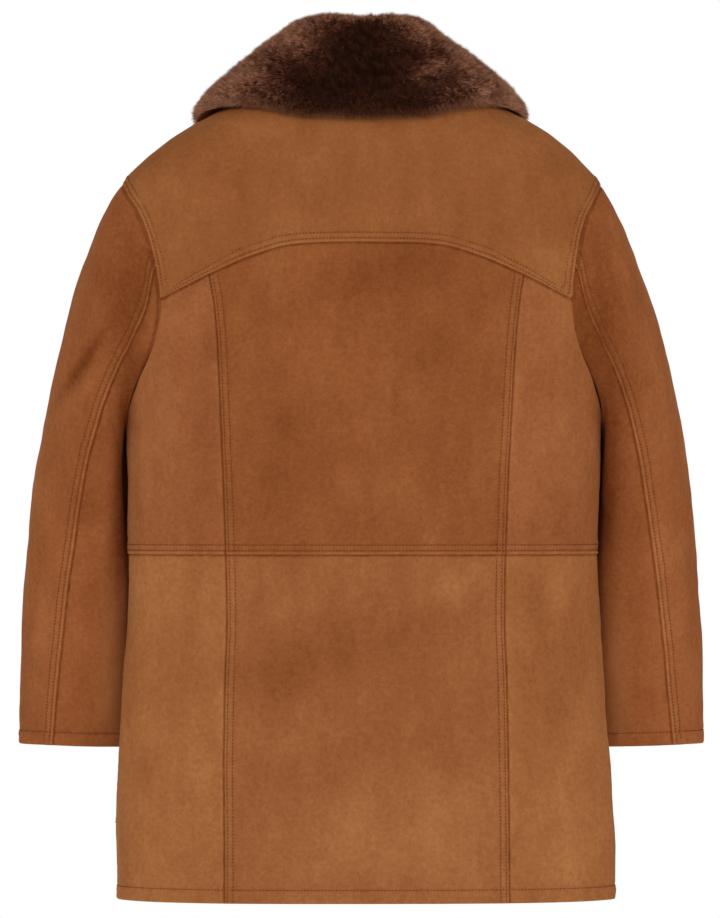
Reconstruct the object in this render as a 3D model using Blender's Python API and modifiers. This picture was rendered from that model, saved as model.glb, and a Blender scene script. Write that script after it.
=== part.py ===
"""A three-quarter shearling coat, filled out as if worn, with nobody in it.

Metres, +Z up. The coat faces -Y, and +X is its wearer's left. The origin lies between the shoulders, in the
middle of the neck, where a wearer holds the coat up.

The hide is a wall of one thickness. Its outer face is a stack of rounded rings for the torso and a row of
tilted rings for each sleeve, and every cut piece is a patch of one of those two surfaces.
"""

import math

import bmesh
import bpy
from mathutils import Vector

WALL = 0.004            # suede hide with its clipped wool, pressed flat
SEAM_GAP = 0.0004       # between two pieces that are sewn together
ARMHOLE_GAP = 0.0009    # between a sleeve's head and the body, where the walls meet at an angle

SUEDE = (0.265, 0.098, 0.036)
FUR = (0.060, 0.022, 0.012)
HORN = (0.045, 0.020, 0.010)

# Torso rings, from the neck down: the outer face's half width and its reach to the back and to the front.
TORSO_COLUMNS = ("height", "half_width", "back_depth", "front_depth")
TORSO_ROWS = (
    (0.075, 0.020, 0.030, 0.030),
    (0.058, 0.058, 0.055, 0.055),
    (0.045, 0.083, 0.064, 0.066),
    (0.030, 0.105, 0.072, 0.074),
    (0.018, 0.127, 0.077, 0.079),
    (0.006, 0.152, 0.081, 0.083),
    (-0.0125, 0.188, 0.087, 0.089),
    (-0.030, 0.211, 0.092, 0.094),
    (-0.044, 0.2267, 0.095, 0.098),
    (-0.0686, 0.2465, 0.100, 0.104),
    (-0.100, 0.250, 0.105, 0.110),
    (-0.145, 0.252, 0.112, 0.117),
    (-0.200, 0.254, 0.117, 0.122),
    (-0.262, 0.255, 0.118, 0.124),
    (-0.290, 0.2515, 0.1175, 0.123),
    (-0.318, 0.2465, 0.1165, 0.122),
    (-0.350, 0.2455, 0.115, 0.120),
    (-0.4524, 0.2430, 0.110, 0.116),
    (-0.517, 0.2449, 0.112, 0.118),
    (-0.576, 0.2491, 0.115, 0.120),
    (-0.653, 0.2548, 0.118, 0.122),
    (-0.709, 0.2579, 0.120, 0.123),
    (-0.764, 0.2590, 0.121, 0.124),
    (-0.830, 0.2590, 0.121, 0.124),
)
ROUNDNESS = 2.5         # exponent of every torso ring: 2 is an ellipse, more is squarer
CHEST_HEIGHT = -0.20    # the rays that shape the shoulders start here

HEM_HEIGHT = -0.8120
HEM_CORNER_RISE = 0.0010
WAIST_SEAM = -0.4524
SIDE_SEAM_TURN = -10.0  # degrees round a ring, in front of the widest point
LONGEST_RAY = 0.45
RAY_HALVINGS = 40
SHOULDER_RAY = 0.2      # usual length of a ray to the shoulders, for turning a gap into degrees

# Princess seams: half the width of the centre-back pieces.
PRINCESS_COLUMNS = ("height", "half_width")
PRINCESS_ROWS = (
    (-0.150, 0.1645),
    (-0.190, 0.1578),
    (-0.241, 0.1534),
    (-0.310, 0.1495),
    (-0.405, 0.1456),
    (-0.517, 0.1430),
    (-0.585, 0.1451),
    (-0.688, 0.1466),
    (-0.830, 0.1466),
)
PRINCESS_TOP = -0.163   # where the princess seams meet the yoke

# Lower edge of the back yoke.
YOKE_COLUMNS = ("from_centre", "height")
YOKE_ROWS = (
    (0.000, -0.1302),
    (0.045, -0.1308),
    (0.075, -0.1328),
    (0.1175, -0.1446),
    (0.163, -0.1643),
    (0.2140, -0.1893),
)
YOKE_REACH = 0.12       # from the neck edge out to the other edges

# Armhole: a loop on the torso, high at the shoulder point and low under the arm.
ARMHOLE_TOP = -0.0690
ARMHOLE_BOTTOM = -0.3180
ARMHOLE_BACK_TURN = 36.6    # degrees round the torso's ring at mid height
ARMHOLE_FRONT_TURN = 39.0
ARMHOLE_LOWER_EASE = 1.45   # above 1 draws the loop in towards the underarm
YOKE_CORNER = 88.0          # degrees round the armhole, from the shoulder point to the back
SHOULDER_SEAM = -34.0       # degrees round the armhole, in front of the shoulder point
SIDE_SEAM_TOP = -157.0

# Neck edge: a loop on the torso that the collar is sewn to.
NECK_HALF_WIDTH = 0.083
NECK_BACK_RISE = 72.6       # degrees up from the chest point, on the back
NECK_FRONT_RISE = 127.0
NECK_SEAM_TURN = 76.0       # where the shoulder seam meets the neck edge, degrees from the front
NECK_YOKE_TURN = 128.0      # where the yoke's armhole columns end

# Front closing: the left front lies over the right one.
OVERLAP = 0.036
OVERLAP_END = OVERLAP + 0.008
OVERLAP_BLEND = 0.055
OVERLAP_LIFT = WALL + 0.0014

BUTTON_RADIUS = 0.0125
BUTTON_THICKNESS = 0.0040
BUTTON_FACETS = 16
BUTTON_BEVEL = 0.0010
BUTTON_GAP = 0.0006
BUTTON_HEIGHTS = (-0.155, -0.285, -0.415, -0.545)

# Sleeve rings, from the armhole to the cuff. Each runs through an outer and an inner point.
SLEEVE_COLUMNS = (
    "along", "outer_x", "outer_z", "inner_x", "inner_z", "middle_y", "half_depth", "bow",
)
SLEEVE_ROWS = (
    (0 / 12, 0.2465, -0.0690, 0.2465, -0.3180, 0.000, 0.0770, 0.032),
    (1 / 12, 0.2700, -0.1060, 0.2480, -0.3235, -0.004, 0.0775, 0.020),
    (2 / 12, 0.2850, -0.1460, 0.2460, -0.3300, -0.010, 0.0775, 0.009),
    (3 / 12, 0.3015, -0.1900, 0.2430, -0.3400, -0.017, 0.0760, 0.003),
    (4 / 12, 0.3155, -0.2400, 0.2400, -0.3550, -0.026, 0.0740, 0.000),
    (5 / 12, 0.3262, -0.2880, 0.2375, -0.3760, -0.036, 0.0720, 0.000),
    (6 / 12, 0.3348, -0.3320, 0.2350, -0.4020, -0.046, 0.0700, 0.000),
    (7 / 12, 0.3423, -0.3820, 0.2335, -0.4350, -0.056, 0.0680, 0.000),
    (8 / 12, 0.3483, -0.4350, 0.2325, -0.4750, -0.065, 0.0655, 0.000),
    (9 / 12, 0.3532, -0.4900, 0.2330, -0.5200, -0.073, 0.0630, 0.000),
    (10 / 12, 0.3563, -0.5450, 0.2340, -0.5670, -0.080, 0.0605, 0.000),
    (11 / 12, 0.3579, -0.6015, 0.2360, -0.6140, -0.086, 0.0575, 0.000),
    (12 / 12, 0.3590, -0.6525, 0.2385, -0.6560, -0.091, 0.0550, 0.000),
)
SLEEVE_LENGTH = 0.58
SLEEVE_PIECE_WIDTH = 0.18
HEAD_FADE = 0.34            # share of the sleeve over which its head turns from armhole to ring
COLUMN_FADE = 0.14          # share over which its columns spread out evenly from the armhole's facets
BODY_CLEARANCE = 0.0035     # a sleeve lies against the body, this far off its outer face
PRESS_SOFTNESS = 0.0030
PRESS_START = 0.02          # shares of the sleeve: where the pressing sets in, and over what stretch
PRESS_BLEND = 0.12

# Soft folds: long troughs pressed into the outer face. A slant of 0 runs down the sleeve or the torso.
SLEEVE_FOLD_COLUMNS = ("side", "along", "turn", "slant", "half_length", "half_width", "depth")
SLEEVE_FOLD_ROWS = (
    (1, 0.37, 57.0, -24.0, 0.055, 0.0150, 0.0040),
    (1, 0.49, -72.0, 52.0, 0.048, 0.0130, 0.0052),
    (1, 0.57, -88.0, -38.0, 0.044, 0.0120, 0.0044),
    (1, 0.66, -70.0, 60.0, 0.036, 0.0110, 0.0030),
    (-1, 0.41, 64.0, -18.0, 0.046, 0.0150, 0.0030),
    (-1, 0.52, -80.0, 47.0, 0.050, 0.0130, 0.0048),
    (-1, 0.61, -66.0, -44.0, 0.042, 0.0120, 0.0040),
)
SLEEVE_FOLDS = [dict(zip(SLEEVE_FOLD_COLUMNS, row)) for row in SLEEVE_FOLD_ROWS]
SLEEVE_RADIUS = 0.064       # turns a fold's place round the sleeve into a distance

TORSO_FOLD_COLUMNS = ("face", "x", "height", "slant", "half_length", "half_width", "depth")
TORSO_FOLD_ROWS = (
    (-1, 0.182, -0.300, -42.0, 0.060, 0.0150, 0.0040),
    (-1, -0.176, -0.318, 38.0, 0.066, 0.0150, 0.0036),
    (-1, 0.150, -0.480, 12.0, 0.080, 0.0180, 0.0026),
    (1, 0.186, -0.330, 33.0, 0.046, 0.0140, 0.0022),
)
TORSO_FOLDS = [dict(zip(TORSO_FOLD_COLUMNS, row)) for row in TORSO_FOLD_ROWS]

# The seam down the back of the sleeve, in degrees round its rings from the outer point. Over COLUMN_FADE it
# blends with the armhole's facet where it starts, so its first rows overshoot.
SLEEVE_SEAM_COLUMNS = ("along", "turn")
SLEEVE_SEAM_ROWS = (
    (0.00, 168.0),
    (0.03, 143.0),
    (0.065, 114.0),
    (0.10, 101.5),
    (0.14, 99.3),
    (0.17, 100.1),
    (0.21, 100.8),
    (0.28, 100.0),
    (0.335, 97.6),
    (0.40, 93.2),
    (0.478, 87.8),
    (0.56, 84.0),
    (0.62, 81.0),
    (0.68, 78.2),
    (0.75, 74.9),
    (0.82, 71.9),
    (0.885, 69.0),
    (0.95, 66.0),
    (1.00, 64.5),
)

# Width and height of the torso's pieces, used only to turn a seam's gap into a share of the piece.
CENTRE_UPPER_SIZE = (0.29, 0.29)
CENTRE_LOWER_SIZE = (0.29, 0.36)
SIDE_UPPER_SIZE = (0.08, 0.28)
SIDE_LOWER_SIZE = (0.17, 0.36)
FRONT_SIZE = (0.20, 0.70)

# How many rows and columns of facets each stretch of a seam has. Both pieces on a seam use the same count.
HALF_CENTRE_COLUMNS = 6
SIDE_BACK_COLUMNS = 8
YOKE_ROW_COUNT = 8
BELOW_WAIST_ROWS = 9
SIDE_SEAM_ROWS = 4
ARMHOLE_STRETCH_ROWS = 8
NECK_COLUMNS = 6
SLEEVE_ROW_COUNT = 17
SLEEVE_BACK_SEAM_STEP = 7   # armhole facets from the shoulder seam to the sleeve's back seam
SLEEVE_FRONT_SEAM_STEP = 5  # and from the sleeve's front seam to the shoulder seam
COLLAR_COLUMN_COUNT = 36
COLLAR_ROW_COUNT = 19

# Collar: hide with deep fur, folded over. "turn" runs round the neck from the front middle to the back.
# The fold is where its hide turns over, and the leaf's edge is given on the torso: half width and rise.
COLLAR_COLUMNS = (
    "turn", "fold_z", "edge_x", "edge_rise", "leaf_bow", "edge_lift",
)
COLLAR_ROWS = (
    (14.0, -0.0340, 0.1080, 137.0, 0.003, 0.0105),
    (30.0, -0.0140, 0.1370, 128.0, 0.003, 0.0095),
    (50.0, 0.0210, 0.1580, 114.0, 0.002, 0.0070),
    (70.0, 0.0555, 0.1655, 101.0, 0.000, 0.0045),
    (90.0, 0.0735, 0.1580, 89.2, 0.000, 0.0035),
    (110.0, 0.0845, 0.1390, 80.1, 0.002, 0.0035),
    (130.0, 0.0893, 0.1090, 73.6, 0.004, 0.0035),
    (155.0, 0.0910, 0.0570, 68.5, 0.005, 0.0035),
    (180.0, 0.0895, 0.0000, 67.7, 0.005, 0.0035),
)
FOLD_HALF_WIDTH = 0.066
FOLD_HALF_DEPTH = 0.098
FOLD_MIDDLE_Y = -0.016
FOLD_RADIUS = 0.0035        # of the hide inside the fold
STAND_SHARE = 0.26          # shares of the collar's rows that its stand and its fold take
FOLD_SHARE = 0.60
COLLAR_SEAM_GAP = 0.0014
COLLAR_SEAM_DROP = 0.0016   # below the coat's outer face
STAND_THICKNESS = 0.0060    # at the neck seam
STAND_FUR_DEPTH = 0.0095    # on the neck's side of the stand, where the fur is pressed flat
FUR_DEPTH = 0.0215
FUR_EDGE_DEPTH = 0.0070
FUR_FULL_SHARE = 0.65       # of the rows, where the fur reaches its depth
FUR_EDGE_ROUNDING = 0.13    # share of the rows over which the fur thins towards the leaf's edge
FUR_END_ROUNDING = 0.07     # share of the columns over which it thins towards the collar's two ends

NORMAL_STEP = 0.0002


class SmoothTable:
    """Smooth curves through a table's rows, each column read by the first column."""

    def __init__(self, columns, rows):
        ordered = sorted(rows)
        self.keys = [row[0] for row in ordered]
        self.curves = {}
        for index, name in enumerate(columns[1:], start=1):
            values = [row[index] for row in ordered]
            self.curves[name] = (values, self.slopes(values))

    def slopes(self, values):
        """Slope at each row: the harmonic mean of its two sides, so that no curve overshoots its rows."""
        keys = self.keys
        rises = [(values[i + 1] - values[i]) / (keys[i + 1] - keys[i]) for i in range(len(keys) - 1)]
        inner = []
        for before, after in zip(rises, rises[1:]):
            turns_back = before * after <= 0
            inner.append(0.0 if turns_back else 2 * before * after / (before + after))
        return [rises[0]] + inner + [rises[-1]]

    def at(self, name, key):
        values, slopes = self.curves[name]
        keys = self.keys
        key = min(max(key, keys[0]), keys[-1])
        i = 0
        while i < len(keys) - 2 and key > keys[i + 1]:
            i += 1
        span = keys[i + 1] - keys[i]
        t = (key - keys[i]) / span
        rise = values[i + 1] - values[i]
        start = slopes[i] * span
        end = slopes[i + 1] * span
        square = 3 * rise - 2 * start - end
        cube = start + end - 2 * rise
        return values[i] + start * t + square * t ** 2 + cube * t ** 3


TORSO = SmoothTable(TORSO_COLUMNS, TORSO_ROWS)
PRINCESS = SmoothTable(PRINCESS_COLUMNS, PRINCESS_ROWS)
YOKE = SmoothTable(YOKE_COLUMNS, YOKE_ROWS)
SLEEVE = SmoothTable(SLEEVE_COLUMNS, SLEEVE_ROWS)
SLEEVE_SEAM = SmoothTable(SLEEVE_SEAM_COLUMNS, SLEEVE_SEAM_ROWS)
COLLAR = SmoothTable(COLLAR_COLUMNS, COLLAR_ROWS)


def mix(start, end, share):
    return start + (end - start) * share


def trough(fold, across, down):
    """How deep a fold is at a place given in metres from its middle, across the cloth and down it."""
    slant = math.radians(fold["slant"])
    along = down * math.cos(slant) + across * math.sin(slant)
    beside = across * math.cos(slant) - down * math.sin(slant)
    fading = (along / fold["half_length"]) ** 2 + (beside / fold["half_width"]) ** 2
    return fold["depth"] * math.exp(-fading)


def smooth_step(share):
    share = min(max(share, 0.0), 1.0)
    return share * share * (3 - 2 * share)


def signed_power(value, exponent):
    return math.copysign(abs(value) ** exponent, value)


# ---------------------------------------------------------------- torso surface

def torso_sizes(height, y):
    depth_name = "back_depth" if y >= 0 else "front_depth"
    return TORSO.at("half_width", height), TORSO.at(depth_name, height)


def torso_point(turn, height):
    """Point on a torso ring: turn 0 is the left side, 90 the middle of the back, -90 the front."""
    angle = math.radians(turn)
    width, depth = torso_sizes(height, math.sin(angle))
    x = width * signed_power(math.cos(angle), 2 / ROUNDNESS)
    y = depth * signed_power(math.sin(angle), 2 / ROUNDNESS)
    return Vector((x, y, height))


def torso_turn(x, y, height):
    """The turn of a point that lies on the torso."""
    width, depth = torso_sizes(height, y)
    across = signed_power(x / width, ROUNDNESS / 2)
    along = signed_power(y / depth, ROUNDNESS / 2)
    return math.degrees(math.atan2(along, across))


def turn_at_width(x, height):
    """The turn of the back's point at a distance from the centre line."""
    share = min(abs(x) / TORSO.at("half_width", height), 1.0)
    turn = math.degrees(math.acos(share ** (ROUNDNESS / 2)))
    return turn if x >= 0 else 180.0 - turn


def torso_level(point):
    """Below 1 inside the torso, 1 on its face, more outside."""
    if point.z > TORSO_ROWS[0][0]:
        return 2.0 + point.z
    width, depth = torso_sizes(point.z, point.y)
    return (abs(point.x) / width) ** ROUNDNESS + (abs(point.y) / depth) ** ROUNDNESS


def torso_normal(point):
    gradient = Vector()
    for axis in range(3):
        step = Vector()
        step[axis] = NORMAL_STEP
        gradient[axis] = torso_level(point + step) - torso_level(point - step)
    return gradient.normalized()


def torso_fold_depth(point):
    folds = [fold for fold in TORSO_FOLDS if fold["face"] * point.y > 0]
    return sum(trough(fold, point.x - fold["x"], fold["height"] - point.z) for fold in folds)


def shoulder_point(x, rise):
    """Point of the torso's face at x, on a ray that rises from chest height: 0 is back, 90 up, 180 front."""
    angle = math.radians(rise)
    ray = Vector((0.0, math.cos(angle), math.sin(angle)))
    start = Vector((x, 0.0, CHEST_HEIGHT))
    near = 0.0
    far = LONGEST_RAY
    for _ in range(RAY_HALVINGS):
        reach = (near + far) / 2
        if torso_level(start + ray * reach) < 1.0:
            near = reach
        else:
            far = reach
    return start + ray * near


def rise_of(point):
    return math.degrees(math.atan2(point.z - CHEST_HEIGHT, point.y))


def armhole_point(turn):
    """Point of the left armhole: turn 0 is the shoulder point, 90 its back, 180 the underarm."""
    angle = math.radians(turn)
    middle = (ARMHOLE_TOP + ARMHOLE_BOTTOM) / 2
    half_height = (ARMHOLE_TOP - ARMHOLE_BOTTOM) / 2
    height = middle + half_height * math.cos(angle)
    ease = 1.0 if math.cos(angle) > 0 else ARMHOLE_LOWER_EASE
    widest = ARMHOLE_BACK_TURN if math.sin(angle) > 0 else ARMHOLE_FRONT_TURN
    return torso_point(widest * signed_power(math.sin(angle), ease), height)


def neck_place(turn):
    """The neck edge's distance from the centre line and its rise: turn 0 is the front, 180 the back."""
    angle = math.radians(turn)
    lean = abs(math.cos(angle))
    end_rise = NECK_FRONT_RISE if math.cos(angle) > 0 else NECK_BACK_RISE
    return NECK_HALF_WIDTH * math.sin(angle), mix(90.0, end_rise, lean)


def neck_point(turn):
    return shoulder_point(*neck_place(turn))


def hem_height(turn):
    """The hem rises a little towards the sides."""
    return HEM_HEIGHT + HEM_CORNER_RISE * math.cos(math.radians(turn)) ** 4


# ---------------------------------------------------------------- walls

def make_material(name, colour, roughness):
    material = bpy.data.materials.new(name)
    material.use_nodes = True
    shader = material.node_tree.nodes["Principled BSDF"]
    shader.inputs["Base Color"].default_value = (*colour, 1.0)
    shader.inputs["Roughness"].default_value = roughness
    shader.inputs["Metallic"].default_value = 0.0
    return material


def add_object(name, mesh, material):
    piece = bpy.data.objects.new(name, mesh)
    piece.data.materials.append(material)
    COAT.objects.link(piece)
    return piece


def wall_from_grid(name, columns, rows, face_points, material):
    """Close a patch of cloth: a grid laid on one face, extruded to the other, with a rim all round.

    face_points takes shares across and up the patch, 0 to 1, and gives its two faces' points.
    """
    mesh = bpy.data.meshes.new(name)
    shape = bmesh.new()
    bmesh.ops.create_grid(shape, x_segments=columns, y_segments=rows, size=0.5)
    shares = {vertex: (vertex.co.x + 0.5, vertex.co.y + 0.5) for vertex in shape.verts}
    faces = list(shape.faces)
    extruded = bmesh.ops.extrude_face_region(shape, geom=faces)
    lifted = [item for item in extruded["geom"] if isinstance(item, bmesh.types.BMVert)]
    targets = {}
    for vertex in lifted:
        place = (round(vertex.co.x + 0.5, 5), round(vertex.co.y + 0.5, 5))
        targets[place] = vertex
    for vertex, (across, up) in shares.items():
        first, second = face_points(across, up)
        vertex.co = first
        targets[(round(across, 5), round(up, 5))].co = second
    bmesh.ops.recalc_face_normals(shape, faces=shape.faces)
    shape.to_mesh(mesh)
    shape.free()
    mesh.shade_smooth()
    mesh.set_sharp_from_angle(angle=math.radians(40))
    return add_object(name, mesh, material)


def patch_between(bottom, top, left, right):
    """A patch filled in between four edges, each a function that gives a pair of numbers."""
    corners = {
        (0, 0): Vector(bottom(0.0)),
        (1, 0): Vector(bottom(1.0)),
        (0, 1): Vector(top(0.0)),
        (1, 1): Vector(top(1.0)),
    }

    def place(across, up):
        ruled = Vector(bottom(across)).lerp(Vector(top(across)), up)
        ruled += Vector(left(up)).lerp(Vector(right(up)), across)
        low = corners[0, 0].lerp(corners[1, 0], across)
        high = corners[0, 1].lerp(corners[1, 1], across)
        return ruled - low.lerp(high, up)

    return place


def stretch_of(share, counts):
    """Which stretch of an edge a share falls on, where each stretch has its own count of facets."""
    place = share * sum(counts)
    for index, count in enumerate(counts):
        if place <= count or index == len(counts) - 1:
            return index, place / count
        place -= count


def inset(share, span):
    """Hold a share off both ends by half a seam gap, on an edge of this length."""
    margin = SEAM_GAP / 2 / span
    return mix(margin, 1 - margin, share)


def torso_panel(name, columns, rows, place, spans, material, side=1, lift=None):
    """A cut piece of the torso. place gives turn and height, spans its width and height in metres."""

    def face_points(across, up):
        turn, height = place(inset(across, spans[0]), inset(up, spans[1]))
        mirror = Vector((side, 1, 1))
        outer = torso_point(turn, height)
        normal = torso_normal(outer)
        offset = lift(outer) if lift else 0.0
        outer += normal * (offset - torso_fold_depth(outer * mirror))
        inner = outer - normal * WALL
        return outer * mirror, inner * mirror

    return wall_from_grid(name, columns, rows, face_points, material)


# ---------------------------------------------------------------- back

def centre_back_upper(material):
    def princess_edge(sign):
        def edge(up):
            top_height = YOKE.at("height", PRINCESS.at("half_width", PRINCESS_TOP))
            height = mix(WAIST_SEAM, top_height, up)
            return turn_at_width(sign * PRINCESS.at("half_width", height), height), height
        return edge

    def waist(across):
        x = mix(-1, 1, across) * PRINCESS.at("half_width", WAIST_SEAM)
        return turn_at_width(x, WAIST_SEAM), WAIST_SEAM

    def yoke_edge(across):
        x = mix(-1, 1, across) * PRINCESS.at("half_width", PRINCESS_TOP)
        height = YOKE.at("height", abs(x))
        return turn_at_width(x, height), height

    place = patch_between(waist, yoke_edge, princess_edge(-1), princess_edge(1))
    rows = SIDE_SEAM_ROWS + ARMHOLE_STRETCH_ROWS
    columns = 2 * HALF_CENTRE_COLUMNS
    torso_panel("back_centre_upper", columns, rows, place, CENTRE_UPPER_SIZE, material)


def centre_back_lower(material):
    def princess_edge(sign):
        def edge(up):
            corner_x = PRINCESS.at("half_width", HEM_HEIGHT)
            height = mix(hem_height(turn_at_width(corner_x, HEM_HEIGHT)), WAIST_SEAM, up)
            return turn_at_width(sign * PRINCESS.at("half_width", height), height), height
        return edge

    def hem(across):
        x = mix(-1, 1, across) * PRINCESS.at("half_width", HEM_HEIGHT)
        turn = turn_at_width(x, HEM_HEIGHT)
        return turn, hem_height(turn)

    def waist(across):
        x = mix(-1, 1, across) * PRINCESS.at("half_width", WAIST_SEAM)
        return turn_at_width(x, WAIST_SEAM), WAIST_SEAM

    place = patch_between(hem, waist, princess_edge(-1), princess_edge(1))
    columns = 2 * HALF_CENTRE_COLUMNS
    torso_panel("back_centre_lower", columns, BELOW_WAIST_ROWS, place, CENTRE_LOWER_SIZE, material)


def side_back_upper(label, side, material):
    """From the princess seam round to the side seam, and up the armhole to the yoke's corner."""
    seam_top = armhole_point(SIDE_SEAM_TOP)
    counts = (SIDE_SEAM_ROWS, ARMHOLE_STRETCH_ROWS)

    def princess_edge(up):
        height = mix(WAIST_SEAM, YOKE.at("height", PRINCESS.at("half_width", PRINCESS_TOP)), up)
        return turn_at_width(PRINCESS.at("half_width", height), height), height

    def outer_edge(up):
        stretch, share = stretch_of(up, counts)
        if stretch == 0:
            turn = mix(SIDE_SEAM_TURN, torso_turn(*seam_top), smooth_step(share))
            return turn, mix(WAIST_SEAM, seam_top.z, share)
        point = armhole_point(mix(360.0 + SIDE_SEAM_TOP, YOKE_CORNER, share))
        return torso_turn(*point), point.z

    def waist(across):
        start = turn_at_width(PRINCESS.at("half_width", WAIST_SEAM), WAIST_SEAM)
        return mix(start, SIDE_SEAM_TURN, across), WAIST_SEAM

    def yoke_edge(across):
        corner = armhole_point(YOKE_CORNER)
        x = mix(PRINCESS.at("half_width", PRINCESS_TOP), corner.x, across)
        height = YOKE.at("height", x)
        return turn_at_width(x, height), height

    place = patch_between(waist, yoke_edge, princess_edge, outer_edge)
    name = f"back_side_upper_{label}"
    torso_panel(name, SIDE_BACK_COLUMNS, sum(counts), place, SIDE_UPPER_SIZE, material, side)


def side_back_lower(label, side, material):
    def princess_edge(up):
        turn = turn_at_width(PRINCESS.at("half_width", HEM_HEIGHT), HEM_HEIGHT)
        height = mix(hem_height(turn), WAIST_SEAM, up)
        return turn_at_width(PRINCESS.at("half_width", height), height), height

    def side_edge(up):
        return SIDE_SEAM_TURN, mix(hem_height(SIDE_SEAM_TURN), WAIST_SEAM, up)

    def hem(across):
        start = turn_at_width(PRINCESS.at("half_width", HEM_HEIGHT), HEM_HEIGHT)
        turn = mix(start, SIDE_SEAM_TURN, across)
        return turn, hem_height(turn)

    def waist(across):
        start = turn_at_width(PRINCESS.at("half_width", WAIST_SEAM), WAIST_SEAM)
        return mix(start, SIDE_SEAM_TURN, across), WAIST_SEAM

    place = patch_between(hem, waist, princess_edge, side_edge)
    name = f"back_side_lower_{label}"
    torso_panel(name, SIDE_BACK_COLUMNS, BELOW_WAIST_ROWS, place, SIDE_LOWER_SIZE, material, side)


def yoke(material):
    """Fans out from the neck edge: over both shoulders to the armholes, and down to the back's seam."""
    ends = []
    for i in range(ARMHOLE_STRETCH_ROWS):
        share = i / ARMHOLE_STRETCH_ROWS
        outer = armhole_point(mix(SHOULDER_SEAM, YOKE_CORNER, share))
        turn = mix(NECK_SEAM_TURN, NECK_YOKE_TURN, share)
        ends.append((neck_place(turn), (outer.x, rise_of(outer))))
    corner_x = armhole_point(YOKE_CORNER).x
    princess_x = PRINCESS.at("half_width", PRINCESS_TOP)
    counts = (SIDE_BACK_COLUMNS, HALF_CENTRE_COLUMNS)
    for i in range(sum(counts) + 1):
        stretch, share = stretch_of(i / sum(counts), counts)
        x = mix(corner_x, princess_x, share) if stretch == 0 else mix(princess_x, 0.0, share)
        height = YOKE.at("height", x)
        outer = torso_point(turn_at_width(x, height), height)
        turn = mix(NECK_YOKE_TURN, 180.0, 1 - x / corner_x)
        ends.append((neck_place(turn), (x, rise_of(outer))))
    mirrored = [((-inner[0], inner[1]), (-outer[0], outer[1])) for inner, outer in reversed(ends[:-1])]
    ends += mirrored
    columns = len(ends) - 1
    shoulder_seam_inset = math.degrees(SEAM_GAP / 2 / SHOULDER_RAY)

    def face_points(across, up):
        column = round(across * columns)
        inner_end, outer_end = ends[column]
        share = inset(up, YOKE_REACH)
        x = mix(inner_end[0], outer_end[0], share)
        rise = mix(inner_end[1], outer_end[1], share)
        if column in (0, columns):
            rise -= shoulder_seam_inset
        outer = shoulder_point(x, rise)
        return outer, outer - torso_normal(outer) * WALL

    wall_from_grid("back_yoke", columns, YOKE_ROW_COUNT, face_points, material)


# ---------------------------------------------------------------- fronts

def front(label, side, material):
    """From the front edge round to the side seam, up to the armhole, the shoulder seam and the neck.

    Its edges give the distance from the centre line and the height, as a maker's flat pattern does.
    """
    seam_top = armhole_point(SIDE_SEAM_TOP)
    shoulder_end = armhole_point(SHOULDER_SEAM)
    row_counts = (BELOW_WAIST_ROWS, SIDE_SEAM_ROWS, ARMHOLE_STRETCH_ROWS)
    column_counts = (NECK_COLUMNS, YOKE_ROW_COUNT)

    def front_edge(up):
        return -OVERLAP, mix(hem_height(90.0), top_edge(0.0)[1], up)

    def outer_edge(up):
        stretch, share = stretch_of(up, row_counts)
        if stretch == 0:
            height = mix(hem_height(SIDE_SEAM_TURN), WAIST_SEAM, share)
            return torso_point(SIDE_SEAM_TURN, height).x, height
        if stretch == 1:
            turn = mix(SIDE_SEAM_TURN, torso_turn(*seam_top), smooth_step(share))
            height = mix(WAIST_SEAM, seam_top.z, share)
            return torso_point(turn, height).x, height
        point = armhole_point(mix(SIDE_SEAM_TOP, SHOULDER_SEAM, share))
        return point.x, point.z

    def hem(across):
        turn = mix(-turn_at_width(-OVERLAP, HEM_HEIGHT), SIDE_SEAM_TURN, across)
        height = hem_height(turn)
        return torso_point(turn, height).x, height

    def top_edge(across):
        stretch, share = stretch_of(across, column_counts)
        if stretch == 0:
            edge_angle = math.degrees(math.asin(OVERLAP / NECK_HALF_WIDTH))
            point = neck_point(mix(-edge_angle, NECK_SEAM_TURN, share))
            return point.x, point.z
        start = neck_point(NECK_SEAM_TURN)
        x = mix(start.x, shoulder_end.x, share)
        rise = mix(rise_of(start), rise_of(shoulder_end), share)
        point = shoulder_point(x, rise)
        return point.x, point.z

    def lift(point):
        return OVERLAP_LIFT * smooth_step((OVERLAP_END + OVERLAP_BLEND - point.x) / OVERLAP_BLEND)

    pattern = patch_between(hem, top_edge, front_edge, outer_edge)

    def place(across, up):
        x, height = pattern(across, up)
        return -turn_at_width(x, height), height

    name = f"front_{label}"
    over_lift = lift if side > 0 else None
    torso_panel(name, sum(column_counts), sum(row_counts), place, FRONT_SIZE, material, side, over_lift)


def button(number, height, material):
    outer = torso_point(-90.0, height)
    normal = torso_normal(outer)
    middle = outer + normal * (OVERLAP_LIFT + BUTTON_GAP + BUTTON_THICKNESS / 2)
    bpy.ops.mesh.primitive_cylinder_add(vertices=BUTTON_FACETS, radius=BUTTON_RADIUS, depth=BUTTON_THICKNESS)
    piece = bpy.context.active_object
    piece.name = f"button_{number}"
    piece.location = middle
    piece.rotation_mode = "QUATERNION"
    piece.rotation_quaternion = normal.to_track_quat("Z", "Y")
    piece.data.materials.append(material)
    bevel = piece.modifiers.new("rounded rim", "BEVEL")
    bevel.width = BUTTON_BEVEL
    bevel.segments = 1
    for collection in piece.users_collection:
        collection.objects.unlink(piece)
    COAT.objects.link(piece)


# ---------------------------------------------------------------- sleeves

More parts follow.
